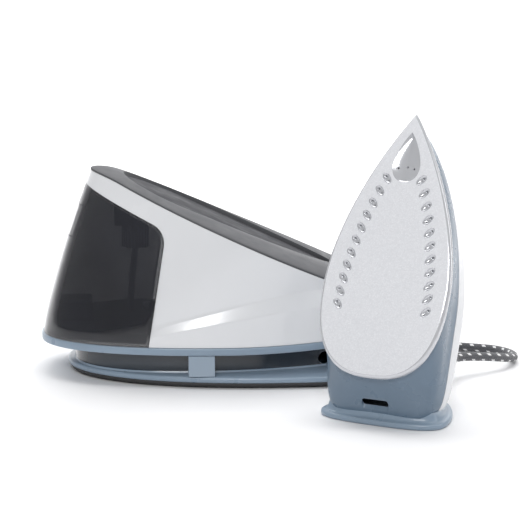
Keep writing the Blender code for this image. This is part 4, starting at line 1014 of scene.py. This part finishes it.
def make_handle():
    lean = math.radians(IRON_LEAN)
    axis = Vector((math.sin(lean), 0, math.cos(lean)))
    exit_at = Vector((SWIVEL_AT[0], 0, SWIVEL_AT[1]))
    socket = cylinders([(exit_at - axis * 9.0, exit_at + axis * 20.0, SWIVEL_SOCKET)])
    dome = loft("cut", [cover_ring(math.sin(math.pi / 2 * i / 12), -GAP) for i in range(13)])
    dome.transform(Matrix.Translation((0, 0, GAP * MM)))
    cutters = [socket, dome, prism(grip_outline(0.0), 40.0), prism(TRIGGER_POCKET, 7.3)]
    handle = carved(handle_mesh("iron_handle"), cutters)
    piece("iron_handle", handle, WHITE, "iron", ["handle"], IRON_FRAME)
    grip = carved(handle_mesh("soft_grip", 0.15), [prism(grip_outline(0.5), 40.0)], "INTERSECT", rounded=0.6)
    grip = carved(grip, [prism(TRIGGER_POCKET, 7.3)])
    piece("soft_grip", grip, DARK_GREY, "iron", ["grip_pad"], IRON_FRAME)


def make_heel():
    levels = ((0.0, 1.2), (0.3, 0.6), (1.0, 0.1), (1.8, 0.0), (3.2, 0.05), (4.2, 0.4), (4.8, 1.1), (5.0, 2.2))
    flare = ((5.1, 3.0), (5.5, 4.0), (6.3, 5.0), (7.6, 5.8), (9.5, 6.4), (13.0, 7.2))
    plate = loft("heel_foot", [ring(half_outline(inset(HEEL_PLATE, d)), z) for z, d in (*levels, *flare)])
    places = [Vector((48.0, y, 0.0)) for y in (-26.0, 26.0)]
    up = Vector((0, 0, 1))
    plate = carved(plate, [cylinders([(p - up, p + up * 3.3, 4.0) for p in places])])
    placed = IRON_FRAME @ heel_matrix()
    piece("heel_foot", plate, BLUE_GREY, "iron", ["heel_plate"], placed)


# ================================================================ stage
def make_stage():
    material, tree, shader = new_material("paper_floor")
    tone = blended(tree, mapped(tree, noise(tree, 3.0), 0.0, 1.0), (0.86, 0.86, 0.87), (0.88, 0.88, 0.89))
    tree.links.new(tone, shader.inputs["Base Color"])
    shader.inputs["Roughness"].default_value = 0.55
    bm = bmesh.new()
    bend_at, bend = 1.5, 1.2
    profile = [(-4.0, 0.0), (bend_at, 0.0)]
    for angle in range(6, 91, 6):
        a = math.radians(angle)
        profile.append((bend_at + bend * math.sin(a), bend - bend * math.cos(a)))
    profile.append((bend_at + bend, 5.0))
    rows = [[bm.verts.new((x, y, z - 0.0002)) for y, z in profile] for x in (-5.0, 5.0)]
    for i in range(len(profile) - 1):
        bm.faces.new((rows[1][i], rows[1][i + 1], rows[0][i + 1], rows[0][i]))
    mesh = bpy.data.meshes.new("floor")
    bm.to_mesh(mesh)
    bm.free()
    mesh.materials.append(material)
    mesh.shade_smooth()
    floor = bpy.data.objects.new("floor", mesh)
    bpy.context.scene.collection.objects.link(floor)


def area_light(name, place, target, size, watts):
    light = bpy.data.objects.new(name, bpy.data.lights.new(name, "AREA"))
    light.data.shape = "RECTANGLE"
    light.data.size, light.data.size_y = size
    light.data.energy = watts
    light.location = place
    light.rotation_euler = (Vector(target) - Vector(place)).to_track_quat("-Z", "Y").to_euler()
    bpy.context.scene.collection.objects.link(light)


def make_lights():
    world = bpy.data.worlds.new("studio")
    world.use_nodes = True
    world.node_tree.nodes["Background"].inputs["Color"].default_value = (1.0, 1.0, 1.0, 1.0)
    world.node_tree.nodes["Background"].inputs["Strength"].default_value = 0.32
    bpy.context.scene.world = world
    bpy.context.scene.view_settings.view_transform = "Standard"
    area_light("key", (-0.35, -1.9, 1.45), (0.0, 0.0, 0.08), (1.0, 0.5), 20.0)
    area_light("top", (0.1, 0.5, 2.2), (0.0, 0.0, 0.0), (2.4, 1.4), 36.0)
    area_light("edge", (1.7, -0.3, 0.9), (0.1, 0.0, 0.1), (0.5, 1.4), 7.0)
    area_light("backdrop", (0.0, 1.2, 1.8), (0.0, 2.4, 0.6), (3.0, 1.0), 60.0)


make_camera()
make_hose()
make_coil_tie()
dress_frame()
make_underside()
make_housing()
make_body()
make_tank()
make_cartridge()
make_tray()
make_sole()
make_iron_shells()
make_handle()
make_heel()
make_stage()
make_lights()
